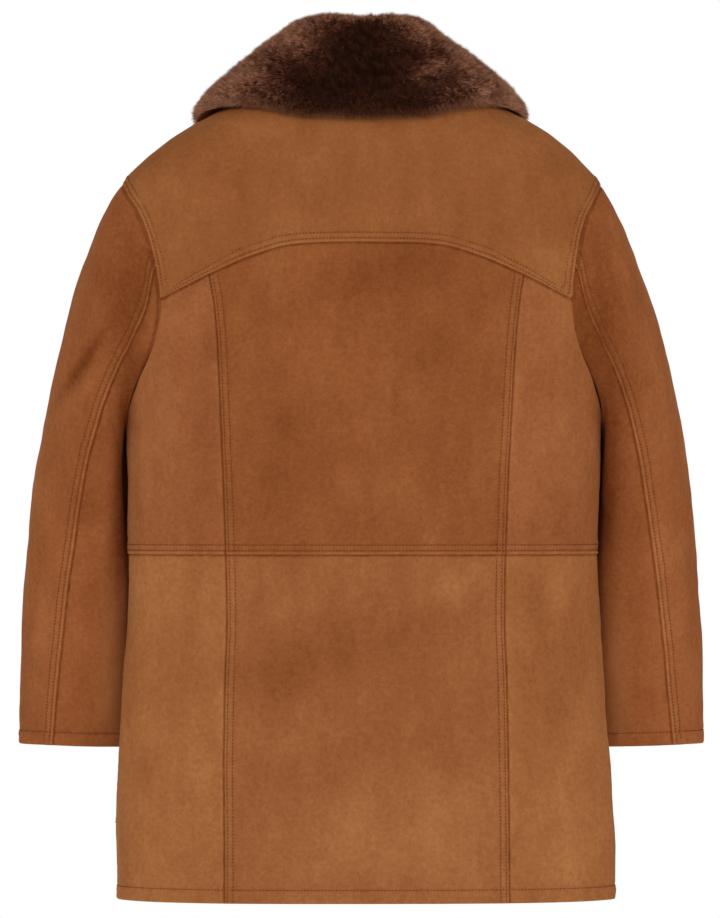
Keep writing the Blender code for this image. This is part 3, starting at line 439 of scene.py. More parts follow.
class SmoothTable:
    """Smooth curves through a table's rows, each column read by the first column."""

    def __init__(self, columns, rows):
        ordered = np.array(sorted(rows))
        self.keys = ordered[:, 0]
        self.curves = {}
        for index, name in enumerate(columns[1:], start=1):
            values = ordered[:, index]
            self.curves[name] = (values, self.slopes(values))

    def slopes(self, values):
        rises = np.diff(values) / np.diff(self.keys)
        before = rises[:-1]
        after = rises[1:]
        both = before + after
        harmonic = 2 * before * after / np.where(both == 0, 1.0, both)
        inner = np.where(before * after <= 0, 0.0, harmonic)
        return np.concatenate((rises[:1], inner, rises[-1:]))

    def at(self, name, key):
        values, slopes = self.curves[name]
        keys = self.keys
        key = np.clip(key, keys[0], keys[-1])
        i = np.clip(np.searchsorted(keys, key, side="left") - 1, 0, len(keys) - 2)
        span = keys[i + 1] - keys[i]
        t = (key - keys[i]) / span
        rise = values[i + 1] - values[i]
        start = slopes[i] * span
        end = slopes[i + 1] * span
        square = 3 * rise - 2 * start - end
        cube = start + end - 2 * rise
        return values[i] + start * t + square * t ** 2 + cube * t ** 3


TORSO = SmoothTable(TORSO_COLUMNS, TORSO_ROWS)
PRINCESS = SmoothTable(PRINCESS_COLUMNS, PRINCESS_ROWS)
YOKE = SmoothTable(YOKE_COLUMNS, YOKE_ROWS)
SLEEVE = SmoothTable(SLEEVE_COLUMNS, SLEEVE_ROWS)
SLEEVE_SEAM = SmoothTable(SLEEVE_SEAM_COLUMNS, SLEEVE_SEAM_ROWS)
COLLAR = SmoothTable(COLLAR_COLUMNS, COLLAR_ROWS)
SLEEVE_FOLDS = [dict(zip(SLEEVE_FOLD_COLUMNS, row)) for row in SLEEVE_FOLD_ROWS]
TORSO_FOLDS = [dict(zip(TORSO_FOLD_COLUMNS, row)) for row in TORSO_FOLD_ROWS]
NAP_AND_SHADING_SPOTS = {place: [dict(zip(NAP_AND_SHADING_COLUMNS, row)) for row in rows] for place, rows in NAP_AND_SHADING_ROWS.items()}
WOOL_SPOTS = [dict(zip(WOOL_COLUMNS, row)) for row in WOOL_ROWS]
OUTLINE = SmoothTable(OUTLINE_COLUMNS, OUTLINE_ROWS)


def mix(start, end, share):
    return start + (end - start) * share


def smooth_step(share):
    share = np.clip(share, 0.0, 1.0)
    return share * share * (3 - 2 * share)


def signed_power(value, exponent):
    return np.copysign(np.abs(value) ** exponent, value)


def vectors(x, y, z):
    return np.stack(np.broadcast_arrays(x, y, z), axis=-1).astype(float)


def unit(vector):
    return vector / np.maximum(np.linalg.norm(vector, axis=-1, keepdims=True), 1e-12)


def scaled(vector, amount):
    return vector * np.asarray(amount)[..., None]


def fading(spot, across, down):
    """How much of a long soft spot is left at metres across and down from its middle."""
    slant = math.radians(spot["slant"])
    along = down * math.cos(slant) + across * math.sin(slant)
    beside = across * math.cos(slant) - down * math.sin(slant)
    return np.exp(-(along / spot["half_length"]) ** 2 - (beside / spot["half_width"]) ** 2)


def soft_noise(points, wavelength, seed, waves=9):
    """A smooth uneven field around 0, mostly between -1 and 1: a sum of waves in all directions."""
    chance = np.random.default_rng(SEED + seed)
    directions = unit(chance.normal(size=(waves, 3)))
    stretches = chance.uniform(0.7, 1.5, waves)
    phases = chance.uniform(0.0, 2 * math.pi, waves)
    total = np.zeros(points.shape[:-1])
    for direction, stretch, phase in zip(directions, stretches, phases):
        total += np.sin(points @ direction * (2 * math.pi / wavelength * stretch) + phase)
    return total / math.sqrt(waves)


def uneven(points, *fields):
    """Soft noises put together, each given as (amount, wavelength, seed)."""
    return sum(amount * soft_noise(points, wavelength, seed) for amount, wavelength, seed in fields)


def as_worn(points):
    """The points, moved sideways to the outline of the worn coat."""
    left = points[..., 0] > 0
    outward = np.where(left, OUTLINE.at("left", points[..., 2]), -OUTLINE.at("right", points[..., 2]))
    moved = points.copy()
    moved[..., 0] += outward * smooth_step((np.abs(points[..., 0]) - OUTLINE_FROM) / OUTLINE_BLEND)
    return moved


# ---------------------------------------------------------------- torso surface

def torso_sizes(height, y):
    depth = np.where(np.asarray(y) >= 0, TORSO.at("back_depth", height), TORSO.at("front_depth", height))
    return TORSO.at("half_width", height), depth


def torso_point(turn, height):
    angle = np.radians(turn)
    width, depth = torso_sizes(height, np.sin(angle))
    x = width * signed_power(np.cos(angle), 2 / ROUNDNESS)
    y = depth * signed_power(np.sin(angle), 2 / ROUNDNESS)
    return vectors(x, y, height)


def torso_turn(point):
    width, depth = torso_sizes(point[..., 2], point[..., 1])
    across = signed_power(point[..., 0] / width, ROUNDNESS / 2)
    along = signed_power(point[..., 1] / depth, ROUNDNESS / 2)
    return np.degrees(np.arctan2(along, across))


def turn_at_width(x, height):
    share = np.minimum(np.abs(x) / TORSO.at("half_width", height), 1.0)
    turn = np.degrees(np.arccos(share ** (ROUNDNESS / 2)))
    return np.where(np.asarray(x) >= 0, turn, 180.0 - turn)


def torso_level(point):
    height = point[..., 2]
    width, depth = torso_sizes(height, point[..., 1])
    level = (np.abs(point[..., 0]) / width) ** ROUNDNESS + (np.abs(point[..., 1]) / depth) ** ROUNDNESS
    return np.where(height > TORSO_ROWS[0][0], 2.0 + height, level)


def torso_normal(point):
    gradient = np.empty_like(point)
    for axis in range(3):
        step = np.zeros(3)
        step[axis] = NORMAL_STEP
        gradient[..., axis] = torso_level(point + step) - torso_level(point - step)
    return unit(gradient)


def torso_fold_depth(point):
    depth = np.zeros(point.shape[:-1])
    for fold in TORSO_FOLDS:
        here = fold["depth"] * fading(fold, point[..., 0] - fold["x"], fold["height"] - point[..., 2])
        depth += np.where(point[..., 1] * fold["face"] > 0, here, 0.0)
    return depth


def shoulder_point(x, rise):
    angle = np.radians(rise)
    zero = np.zeros(np.broadcast(x, angle).shape)
    ray = vectors(zero, np.cos(angle), np.sin(angle))
    start = vectors(x + zero, 0.0, CHEST_HEIGHT)
    near = zero.copy()
    far = zero + LONGEST_RAY
    for _ in range(RAY_HALVINGS):
        reach = (near + far) / 2
        inside = torso_level(start + scaled(ray, reach)) < 1.0
        near = np.where(inside, reach, near)
        far = np.where(inside, far, reach)
    return start + scaled(ray, near)


def rise_of(point):
    return np.degrees(np.arctan2(point[..., 2] - CHEST_HEIGHT, point[..., 1]))


def armhole_point(turn):
    angle = np.radians(turn)
    middle = (ARMHOLE_TOP + ARMHOLE_BOTTOM) / 2
    half_height = (ARMHOLE_TOP - ARMHOLE_BOTTOM) / 2
    height = middle + half_height * np.cos(angle)
    ease = np.where(np.cos(angle) > 0, 1.0, ARMHOLE_LOWER_EASE)
    widest = np.where(np.sin(angle) > 0, ARMHOLE_BACK_TURN, ARMHOLE_FRONT_TURN)
    return torso_point(widest * signed_power(np.sin(angle), ease), height)


def neck_place(turn):
    angle = np.radians(turn)
    lean = np.abs(np.cos(angle))
    end_rise = np.where(np.cos(angle) > 0, NECK_FRONT_RISE, NECK_BACK_RISE)
    return NECK_HALF_WIDTH * np.sin(angle), mix(90.0, end_rise, lean)


def neck_point(turn):
    return shoulder_point(*neck_place(turn))


def hem_height(turn):
    return HEM_HEIGHT + HEM_CORNER_RISE * np.cos(np.radians(turn)) ** 4


# ---------------------------------------------------------------- patches of the torso

SEAM_TOP_X = PRINCESS.at("half_width", PRINCESS_TOP)
SEAM_WAIST_X = PRINCESS.at("half_width", WAIST_SEAM)
SEAM_HEM_X = PRINCESS.at("half_width", HEM_HEIGHT)
SEAM_TOP_HEIGHT = YOKE.at("height", SEAM_TOP_X)


def patch_between(bottom, top, left, right):
    """A patch filled in between four edges, each a function that gives a pair of numbers."""
    def pair(edge, share):
        return np.stack(np.broadcast_arrays(*edge(share)), axis=-1)

    low_ends = [pair(bottom, np.array([share]))[0] for share in (0.0, 1.0)]
    high_ends = [pair(top, np.array([share]))[0] for share in (0.0, 1.0)]

    def place(across, up):
        along = across[..., None]
        climb = up[..., None]
        ruled = mix(pair(bottom, across), pair(top, across), climb)
        ruled = ruled + mix(pair(left, up), pair(right, up), along)
        filled = ruled - mix(mix(*low_ends, along), mix(*high_ends, along), climb)
        return filled[..., 0], filled[..., 1]

    return place


def stretch_of(share, counts):
    """Which stretch of an edge a share falls on, where each stretch has its own count of facets."""
    place = share * sum(counts)
    starts = np.concatenate(([0], np.cumsum(counts)))
    index = np.clip(np.searchsorted(starts, place - 1e-9, side="left") - 1, 0, len(counts) - 1)
    return index, (place - starts[index]) / np.array(counts)[index]


def torso_surface(place, side, lift=None):
    mirror = np.array([side, 1.0, 1.0])

    def surface(across, up):
        outer = torso_point(*place(across, up))
        normal = torso_normal(outer)
        offset = -torso_fold_depth(outer * mirror)
        if lift:
            offset = offset + lift(outer)
        return as_worn((outer + scaled(normal, offset)) * mirror), normal * mirror

    return surface


def princess_edge(sign, low, high):
    """The left (1) or right (-1) princess seam between two heights, as turns and heights."""
    def edge(up):
        height = mix(low, high, up)
        return turn_at_width(sign * PRINCESS.at("half_width", height), height), height

    return edge


def yoke_line(x):
    height = YOKE.at("height", np.abs(x))
    return turn_at_width(x, height), height


def hem_line(turn):
    return turn, hem_height(turn)


def side_seam_above_waist(share):
    top = armhole_point(SIDE_SEAM_TOP)
    return mix(SIDE_SEAM_TURN, torso_turn(top), smooth_step(share)), mix(WAIST_SEAM, top[2], share)


def centre_surface(upper):
    """The middle of the back, above the waist seam or below it."""
    def waist(across):
        return turn_at_width(mix(-1, 1, across) * SEAM_WAIST_X, WAIST_SEAM), WAIST_SEAM

    def yoke_edge(across):
        return yoke_line(mix(-1, 1, across) * SEAM_TOP_X)

    def hem(across):
        return hem_line(turn_at_width(mix(-1, 1, across) * SEAM_HEM_X, HEM_HEIGHT))

    if upper:
        low, high, bottom, top = WAIST_SEAM, SEAM_TOP_HEIGHT, waist, yoke_edge
    else:
        low, high, bottom, top = hem_height(turn_at_width(SEAM_HEM_X, HEM_HEIGHT)), WAIST_SEAM, hem, waist
    sides = (princess_edge(sign, low, high) for sign in (-1, 1))
    return torso_surface(patch_between(bottom, top, *sides), 1)


def side_surface(side, upper):
    """The back beside a princess seam, above the waist seam and up the armhole, or below it."""
    corner_x = armhole_point(YOKE_CORNER)[0]
    hem_turn = turn_at_width(SEAM_HEM_X, HEM_HEIGHT)

    def waist(across):
        return mix(turn_at_width(SEAM_WAIST_X, WAIST_SEAM), SIDE_SEAM_TURN, across), WAIST_SEAM

    def yoke_edge(across):
        return yoke_line(mix(SEAM_TOP_X, corner_x, across))

    def hem(across):
        return hem_line(mix(hem_turn, SIDE_SEAM_TURN, across))

    def armhole_edge(up):
        stretch, share = stretch_of(up, (SIDE_SEAM_ROWS, ARMHOLE_STRETCH_ROWS))
        point = armhole_point(mix(360.0 + SIDE_SEAM_TOP, YOKE_CORNER, share))
        seam_turn, seam_height = side_seam_above_waist(share)
        on_seam = stretch == 0
        return np.where(on_seam, seam_turn, torso_turn(point)), np.where(on_seam, seam_height, point[..., 2])

    def side_edge(up):
        return SIDE_SEAM_TURN, mix(hem_height(SIDE_SEAM_TURN), WAIST_SEAM, up)

    if upper:
        edges = waist, yoke_edge, princess_edge(1, WAIST_SEAM, SEAM_TOP_HEIGHT), armhole_edge
    else:
        edges = hem, waist, princess_edge(1, hem_height(hem_turn), WAIST_SEAM), side_edge
    return torso_surface(patch_between(*edges), side)


LOWER_YOKE_COLUMNS = SIDE_BACK_COLUMNS + HALF_CENTRE_COLUMNS
YOKE_HALF_COLUMNS = ARMHOLE_STRETCH_ROWS + LOWER_YOKE_COLUMNS


def yoke_surface():
    """Half the yoke, from its left shoulder seam to the middle of its lower edge, and its mirror image."""
    corner_x = armhole_point(YOKE_CORNER)[0]

    def ends(column):
        armhole_share = np.clip(column / ARMHOLE_STRETCH_ROWS, 0.0, 1.0)
        lower_share = np.clip((column - ARMHOLE_STRETCH_ROWS) / LOWER_YOKE_COLUMNS, 0.0, 1.0)
        on_armhole = column < ARMHOLE_STRETCH_ROWS
        armhole = armhole_point(mix(SHOULDER_SEAM, YOKE_CORNER, armhole_share))
        stretch, share = stretch_of(lower_share, (SIDE_BACK_COLUMNS, HALF_CENTRE_COLUMNS))
        x = np.where(stretch == 0, mix(corner_x, SEAM_TOP_X, share), mix(SEAM_TOP_X, 0.0, share))
        outer = np.where(on_armhole[..., None], armhole, torso_point(*yoke_line(x)))
        armhole_turn = mix(NECK_SEAM_TURN, NECK_YOKE_TURN, armhole_share)
        lower_turn = mix(NECK_YOKE_TURN, 180.0, 1 - x / corner_x)
        inner_x, inner_rise = neck_place(np.where(on_armhole, armhole_turn, lower_turn))
        return inner_x, inner_rise, outer[..., 0], rise_of(outer)

    def surface(across, up):
        column = across * 2 * YOKE_HALF_COLUMNS
        sign = np.where(column > YOKE_HALF_COLUMNS, -1.0, 1.0)
        inner_x, inner_rise, outer_x, outer_rise = ends(np.minimum(column, 2 * YOKE_HALF_COLUMNS - column))
        outer = shoulder_point(mix(inner_x, outer_x, up), mix(inner_rise, outer_rise, up))
        mirror = vectors(sign, 1.0, 1.0)
        return as_worn(outer * mirror), torso_normal(outer) * mirror

    return surface


FRONT_ROW_COUNTS = (BELOW_WAIST_ROWS, SIDE_SEAM_ROWS, ARMHOLE_STRETCH_ROWS)


def front_surface(side):
    """A front, from its overlap past the middle to the side seam, the armhole and the shoulder seam."""
    neck_end = neck_point(np.array(NECK_SEAM_TURN))
    shoulder_end = armhole_point(SHOULDER_SEAM)
    edge_angle = math.degrees(math.asin(OVERLAP / NECK_HALF_WIDTH))

    def top_edge(across):
        stretch, share = stretch_of(across, (NECK_COLUMNS, YOKE_ROW_COUNT))
        on_neck = neck_point(mix(-edge_angle, NECK_SEAM_TURN, share))
        x = mix(neck_end[0], shoulder_end[0], share)
        on_shoulder = shoulder_point(x, mix(rise_of(neck_end), rise_of(shoulder_end), share))
        point = np.where((stretch == 0)[..., None], on_neck, on_shoulder)
        return point[..., 0], point[..., 2]

    def front_edge(up):
        return -OVERLAP, mix(hem_height(90.0), top_edge(np.array([0.0]))[1][0], up)

    def outer_edge(up):
        stretch, share = stretch_of(up, FRONT_ROW_COUNTS)
        low_height = mix(hem_height(SIDE_SEAM_TURN), WAIST_SEAM, share)
        low_x = torso_point(SIDE_SEAM_TURN, low_height)[..., 0]
        seam_turn, seam_height = side_seam_above_waist(share)
        seam_x = torso_point(seam_turn, seam_height)[..., 0]
        point = armhole_point(mix(SIDE_SEAM_TOP, SHOULDER_SEAM, share))
        x = np.choose(stretch, (low_x, seam_x, point[..., 0]))
        return x, np.choose(stretch, (low_height, seam_height, point[..., 2]))

    def hem(across):
        turn, height = hem_line(mix(-turn_at_width(-OVERLAP, HEM_HEIGHT), SIDE_SEAM_TURN, across))
        return torso_point(turn, height)[..., 0], height

    def lift(point):
        return OVERLAP_LIFT * smooth_step((OVERLAP_END + OVERLAP_BLEND - point[..., 0]) / OVERLAP_BLEND)

    pattern = patch_between(hem, top_edge, front_edge, outer_edge)

    def place(across, up):
        x, height = pattern(across, up)
        return -turn_at_width(x, height), height

    return torso_surface(place, side, lift if side > 0 else None)


# ---------------------------------------------------------------- sleeve surface

def sleeve_ring_point(turn, along):
    angle = np.radians(turn)
    outer = vectors(SLEEVE.at("outer_x", along), 0.0, SLEEVE.at("outer_z", along))
    inner = vectors(SLEEVE.at("inner_x", along), 0.0, SLEEVE.at("inner_z", along))
    point = mix(outer, inner, ((1 - np.cos(angle)) / 2)[..., None])
    point[..., 1] = SLEEVE.at("middle_y", along) + SLEEVE.at("half_depth", along) * np.sin(angle)
    point[..., 0] -= SLEEVE.at("bow", along) * np.sin(angle) ** 2
    return point


def off_the_body(point):
    width, depth = torso_sizes(point[..., 2], point[..., 1])
    inside = np.maximum(0.0, 1 - (np.abs(point[..., 1]) / depth) ** ROUNDNESS)
    limit = width * inside ** (1 / ROUNDNESS) + BODY_CLEARANCE
    short = limit - point[..., 0]
    pressed = point.copy()
    pressed[..., 0] += (short + np.sqrt(short * short + PRESS_SOFTNESS ** 2)) / 2
    return pressed


def sleeve_point(turn, along):
    along = along + np.zeros_like(turn)
    ring = sleeve_ring_point(turn, along)
    fade = np.maximum(0.0, 1 - along / HEAD_FADE) ** 2
    head = armhole_point(turn) - sleeve_ring_point(turn, np.zeros_like(along))
    pressing = smooth_step((along - PRESS_START) / PRESS_BLEND)
    ring = mix(ring, off_the_body(ring), pressing[..., None])
    return ring + scaled(head, fade) + scaled(np.array([ARMHOLE_GAP, 0.0, 0.0]), fade)


def sleeve_normal(turn, along):
    turn_step = 0.5
    along_step = 0.002
    low = np.maximum(along - along_step, 0.0)
    high = np.minimum(along + along_step, 1.0)
    round_ring = sleeve_point(turn + turn_step, along) - sleeve_point(turn - turn_step, along)
    down_arm = sleeve_point(turn, high) - sleeve_point(turn, low)
    return unit(np.cross(down_arm, round_ring))


def sleeve_fold_depth(side, turn, along):
    depth = np.zeros(np.broadcast(turn, along).shape)
    for fold in SLEEVE_FOLDS:
        if fold["side"] == side:
            apart = (turn - fold["turn"] + 180.0) % 360.0 - 180.0
            across = np.radians(apart) * SLEEVE_RADIUS
            depth += fold["depth"] * fading(fold, across, (along - fold["along"]) * SLEEVE_LENGTH)
    return depth


def armhole_stations():
    marks = (SHOULDER_SEAM, YOKE_CORNER, SIDE_SEAM_TOP + 360.0, SHOULDER_SEAM + 360.0)
    stations = []
    for start, end in zip(marks, marks[1:]):
        stations += [mix(start, end, i / ARMHOLE_STRETCH_ROWS) for i in range(ARMHOLE_STRETCH_ROWS)]
    return stations + [marks[-1]]


def sleeve_surface(head_turns, start_turn, end_turn, side):
    mirror = np.array([side, 1.0, 1.0])
    columns = len(head_turns) - 1
    head_margin = ARMHOLE_GAP / SLEEVE_LENGTH

    def surface(across, up):
        along = mix(head_margin, 1.0, up)
        even = mix(start_turn(along), end_turn(along), across)
        head = np.interp(across * columns, np.arange(columns + 1), head_turns)
        turn = mix(head, even, smooth_step(along / COLUMN_FADE))
        normal = sleeve_normal(turn, along)
        outer = sleeve_point(turn, along) - scaled(normal, sleeve_fold_depth(side, turn, along))
        return as_worn(outer * mirror), normal * mirror

    return surface


def sleeve_surfaces(side):
    """The surfaces of a sleeve's top and of its underside."""
    stations = armhole_stations()
    facets = len(stations) - 1
    front_station = facets - SLEEVE_FRONT_SEAM_STEP
    top_turns = [turn - 360.0 for turn in stations[front_station:facets]]
    top_turns += stations[:SLEEVE_BACK_SEAM_STEP + 1]
    under_turns = stations[SLEEVE_BACK_SEAM_STEP:front_station + 1]

    def back_seam(along):
        return SLEEVE_SEAM.at("turn", along)

    def front_seam(along, turns_on=0.0):
        return top_turns[0] + turns_on + np.zeros_like(along)

    def front_seam_from_inside(along):
        return front_seam(along, 360.0)

    top = sleeve_surface(top_turns, front_seam, back_seam, side)
    return top, sleeve_surface(under_turns, back_seam, front_seam_from_inside, side)


# ---------------------------------------------------------------- what a seam does to the suede

# For each kind of seam: the distances from it with lines of points, how far the piece goes on past it, and
# what it does to the face. Steps are (height, where it ends, width of the slope). Ridges are (height,
# distance, half width), and grooves where the height is below 0. The nap is (distance, half width, tone):
# painted highlight where a seam stands up, and painted shade in its grooves, under a lapped edge and in the
# stitches' dips.
SEAM_COLUMNS = ("lines", "reach", "steps", "ridges", "nap")
ROW_DIPS = ((-ROW_DIP, FIRST_ROW, 0.0010), (-ROW_DIP, SECOND_ROW, 0.0010))
# Painted shade in the dips of the rows of stitches, and a painted highlight between them.
ROW_SHADE_AND_HIGHLIGHT = ((FIRST_ROW, 0.0008, -0.10), (SECOND_ROW, 0.0008, -0.10), (0.0063, 0.0018, 0.06))
LAP_STEPS = ((LAP_RISE, 0.0150, 0.0070), (-LAP_TURN, 0.0, LAP_OVERHANG))
LAP_RIDGES = ((LAP_BEAD, 0.0004, 0.0011),) + ROW_DIPS
UNDER_SHAPE = (((-UNDER_DROP, 0.0045, 0.0045),), (), ((0.0013, 0.0012, -0.50),))
STITCHED_SHAPE = (
    OVER_STEPS, GROOVE_REACH, ((0.0005, 0.0120, 0.0060),), ((-GROOVE, 0.0, 0.0010),) + ROW_DIPS,
    ((0.0, 0.0010, -0.55), (0.0019, 0.0009, 0.12)) + ROW_SHADE_AND_HIGHLIGHT,
)
SEAM_ROWS = {
    "lap": (OVER_STEPS, LAP_OVERHANG, LAP_STEPS, LAP_RIDGES, ((0.0008, 0.0010, 0.26),) + ROW_SHADE_AND_HIGHLIGHT),
    "armhole": (OVER_STEPS, LAP_OVERHANG, LAP_STEPS, LAP_RIDGES,
                ((-0.0006, 0.0008, -0.30), (0.0014, 0.0009, 0.10)) + ROW_SHADE_AND_HIGHLIGHT),
    "under": (UNDER_STEPS, UNDER_REACH) + UNDER_SHAPE,
    "underarm": (UNDER_STEPS, UNDERARM_REACH) + UNDER_SHAPE,
    "stitched": STITCHED_SHAPE,
    "pressed": STITCHED_SHAPE,
    "plain": (UNDER_STEPS, GROOVE_REACH, (), ((-GROOVE, 0.0, 0.0011),),
              ((0.0, 0.0010, -0.55), (0.0022, 0.0010, 0.10))),
    "turned": (OVER_STEPS, LAP_OVERHANG, ((0.0004, 0.0100, 0.0080), (-0.0014, 0.0016, 0.0026)), (),
               ((0.0010, 0.0012, 0.16),)),
    "hem": (HEM_STEPS, 0.0, ((0.0006, HEM_ROW + 0.0015, 0.0030),),
            ((-0.0011, 0.0, 0.0011), (-1.2 * ROW_DIP, HEM_ROW, 0.0013)),
            ((0.0004, 0.0012, 0.14), (HEM_ROW, 0.0010, -0.12))),
}
SEAMS = {kind: dict(zip(SEAM_COLUMNS, row)) for kind, row in SEAM_ROWS.items()}
TWO_ROWS = (FIRST_ROW, SECOND_ROW)
STITCHES = {"lap": TWO_ROWS, "armhole": TWO_ROWS, "stitched": TWO_ROWS, "hem": (HEM_ROW,)}
PUCKERED = ("lap", "armhole", "stitched", "pressed", "hem")
# For each edge of a panel: whether the share across (0) or up (1) changes away from it, and which way.
EDGES = {"left": (0, 1), "right": (0, -1), "bottom": (1, 1), "top": (1, -1)}
INWARD_STEP = 0.01          # share of a panel over which the way in from its edge is found
SEAM_BLEND = 0.02           # share of an edge over which one kind of seam gives way to the next
SLANT_STEPS = 12            # steps of the map each way over which a sleeve's seams are evened
LEAST_SLANT = 0.45
MOST_OF_SPAN = 0.45         # a seam's lines take no more than this share of a row from either side


def bell(distance, half_width):
    return np.exp(-(distance / half_width) ** 2)


def seam_profile(kind, distance):
    """How far a seam lifts the face beside it. A groove in the seam itself is as deep past it."""
    offset = 0.0
    for height, end, width in SEAMS[kind]["steps"]:
        offset = offset + height * smooth_step((end - distance) / width)
    for height, place, half_width in SEAMS[kind]["ridges"]:
        offset = offset + height * bell(distance - place if place else np.maximum(distance, 0.0), half_width)
    return offset


def running_length(points, axis):
    steps = np.linalg.norm(np.diff(points, axis=axis), axis=-1)
    start = np.zeros_like(np.take(steps, [0], axis=axis))
    return np.concatenate((start, np.cumsum(steps, axis=axis)), axis=axis)


def read_map(table, across, up):
    """Read a square table between its places."""
    across_place = np.clip(across, 0.0, 1.0) * (table.shape[0] - 1)
    up_place = np.clip(up, 0.0, 1.0) * (table.shape[1] - 1)
    i = np.minimum(across_place.astype(int), table.shape[0] - 2)
    j = np.minimum(up_place.astype(int), table.shape[1] - 2)
    s = across_place - i
    t = up_place - j
    if table.ndim == 3:
        s = s[..., None]
        t = t[..., None]
    low = mix(table[i, j], table[i + 1, j], s)
    high = mix(table[i, j + 1], table[i + 1, j + 1], s)
    return mix(low, high, t)


class Panel:
    """A cut piece: its surface, how far each place is from its edges, and what the seams do to its face."""

    def __init__(self, name, surface, facets, seams, flat=None):
        self.name = name
        self.surface = surface
        self.seams = seams          # (edge, kind of seam, from share, to share)
        self.flat = flat            # width and height of the cut, where the grid's own lines don't give them
        # Whole steps of the map fall on each facet, so that the edges' corners are points of it.
        self.shares = [np.linspace(0.0, 1.0, count * math.ceil(MAP_STEPS / count) + 1) for count in facets]
        across, up = np.meshgrid(*self.shares, indexing="ij")
        self.points = surface(across.ravel(), up.ravel())[0].reshape(*across.shape, 3)
        self.lengths = [running_length(self.points, axis) for axis in (0, 1)]
        self.slants = {edge: self.slant(edge) for edge in EDGES}

    def slant(self, edge):
        """How squarely the rows or columns meet an edge: a length along them, times this, is a distance."""
        axis, way = EDGES[edge]
        lines = np.moveaxis(self.points, axis, 0)[::way]
        inward = unit(lines[2] - lines[0])
        steps = unit(np.diff(lines[0], axis=0))
        before = np.cross(np.concatenate((steps[:1], steps)), inward)
        after = np.cross(np.concatenate((steps, steps[-1:])), inward)
        squareness = (np.linalg.norm(before, axis=-1) + np.linalg.norm(after, axis=-1)) / 2
        if self.name.startswith("sleeve"):
            padded = np.pad(squareness, SLANT_STEPS, mode="edge")
            window = np.hanning(2 * SLANT_STEPS + 3)[1:-1]
            squareness = np.convolve(padded, window / window.sum(), mode="valid")
        return np.clip(squareness, LEAST_SLANT, 1.0)

    def distances(self, across, up):
        """How far places are from each edge."""
        places = (across, up)
        found = {}
        for edge, (axis, way) in EDGES.items():
            length = read_map(self.lengths[axis], across, up)
            if way < 0:
                far = (np.ones_like(across), up) if axis == 0 else (across, np.ones_like(up))
                length = read_map(self.lengths[axis], *far) - length
            found[edge] = length * np.interp(places[1 - axis], self.shares[1 - axis], self.slants[edge])
        return found

    @staticmethod
    def weight(edge, start, end, across, up):
        """1 along the stretch of an edge that one kind of seam holds, and 0 past it."""
        share = (across, up)[1 - EDGES[edge][0]]
        rising = smooth_step((share - start) / SEAM_BLEND + 0.5) if start > 0 else 1.0
        falling = smooth_step((end - share) / SEAM_BLEND + 0.5) if end < 1 else 1.0
        return rising * falling

    def relief(self, points, across, up, distances):
        """How far the face stands off its plain form: seams, stitches, puckers and soft unevenness."""
        offset = uneven(points, *UNDULATION)
        ripple = uneven(points, PUCKER_WAVES)
        for edge, kind, start, end in self.seams:
            shape = seam_profile(kind, distances[edge])
            if kind in PUCKERED:
                shape = shape + PUCKER_DEPTH * ripple * bell(distances[edge] - SECOND_ROW, PUCKER_HALF_WIDTH)
            offset = offset + shape * self.weight(edge, start, end, across, up)
        return offset

    def seam_shading(self, across, up, beyond):
        """How much painted highlight and painted shade the seams put on the suede."""
        distances = self.distances(across, up)
        fine = 1.0 + uneven(self.surface(across, up)[0], SEAM_SHADING_FLECKS)
        tone = np.zeros_like(across)
        for edge, kind, start, end in self.seams:
            distance = np.where(beyond[edge] > 0, -beyond[edge], distances[edge])
            weight = fine * self.weight(edge, start, end, across, up)
            for place, half_width, change in SEAMS[kind]["nap"]:
                tone += change * weight * bell(distance - place, half_width)
        return tone

    def outer(self, across, up, beyond=None):
        """Points and normals of the face. beyond gives, for an edge, how far past it each point lies."""
        base, normals = self.surface(across, up)
        distances = self.distances(across, up)
        points = base
        for edge, amount in (beyond or {}).items():
            past = amount > 0
            if np.any(past):
                axis, way = EDGES[edge]
                step = np.eye(2)[axis] * way * INWARD_STEP
                outward = unit(base - self.surface(across + step[0], up + step[1])[0])
                points = points + scaled(outward, np.where(past, amount, 0.0))
                distances[edge] = np.where(past, -amount, distances[edge])
        return points + scaled(normals, self.relief(points, across, up, distances)), normals

    def line_at(self, edge, distance):
        """Shares across and up of the line that runs beside an edge at a distance."""
        axis, way = EDGES[edge]
        table = self.lengths[0] if axis == 0 else self.lengths[1].T
        lengths = distance / self.slants[edge]
        if way < 0:
            lengths = table[-1] - lengths
        shares = self.shares[axis]
        found = np.array([np.interp(length, column, shares) for length, column in zip(lengths, table.T)])
        return (found, self.shares[1]) if axis == 0 else (self.shares[0], found)

    def line_distances(self, edge):
        """Distances from an edge where the grid has lines, past it first if the piece goes on there."""
        seam = SEAMS[next(kind for name, kind, _, _ in self.seams if name == edge)]
        past = (-seam["reach"],) if seam["reach"] > 0 else ()
        return np.array(past + seam["lines"])

    def line_lengths(self, edges, span, slants):
        """Lengths along rows or columns at which the grid has lines, and how far past the edges they lie."""
        low_steps, high_steps = (self.line_distances(edge) for edge in edges)
        low = np.minimum(low_steps[:, None] / slants[0], MOST_OF_SPAN * span)
        high = span - np.minimum(high_steps[::-1, None] / slants[1], MOST_OF_SPAN * span)
        count = max(2, round(float(np.max(high[0] - low[-1])) / GRID_SPACING))
        between = mix(low[-1], high[0], np.linspace(0.0, 1.0, count + 1)[1:-1, None])
        lengths = np.concatenate((low, between, high))
        past_low = np.zeros(len(lengths))
        past_high = np.zeros(len(lengths))
        past_low[0] = max(0.0, -low_steps[0])
        past_high[-1] = max(0.0, -high_steps[0])
        return lengths, past_low, past_high

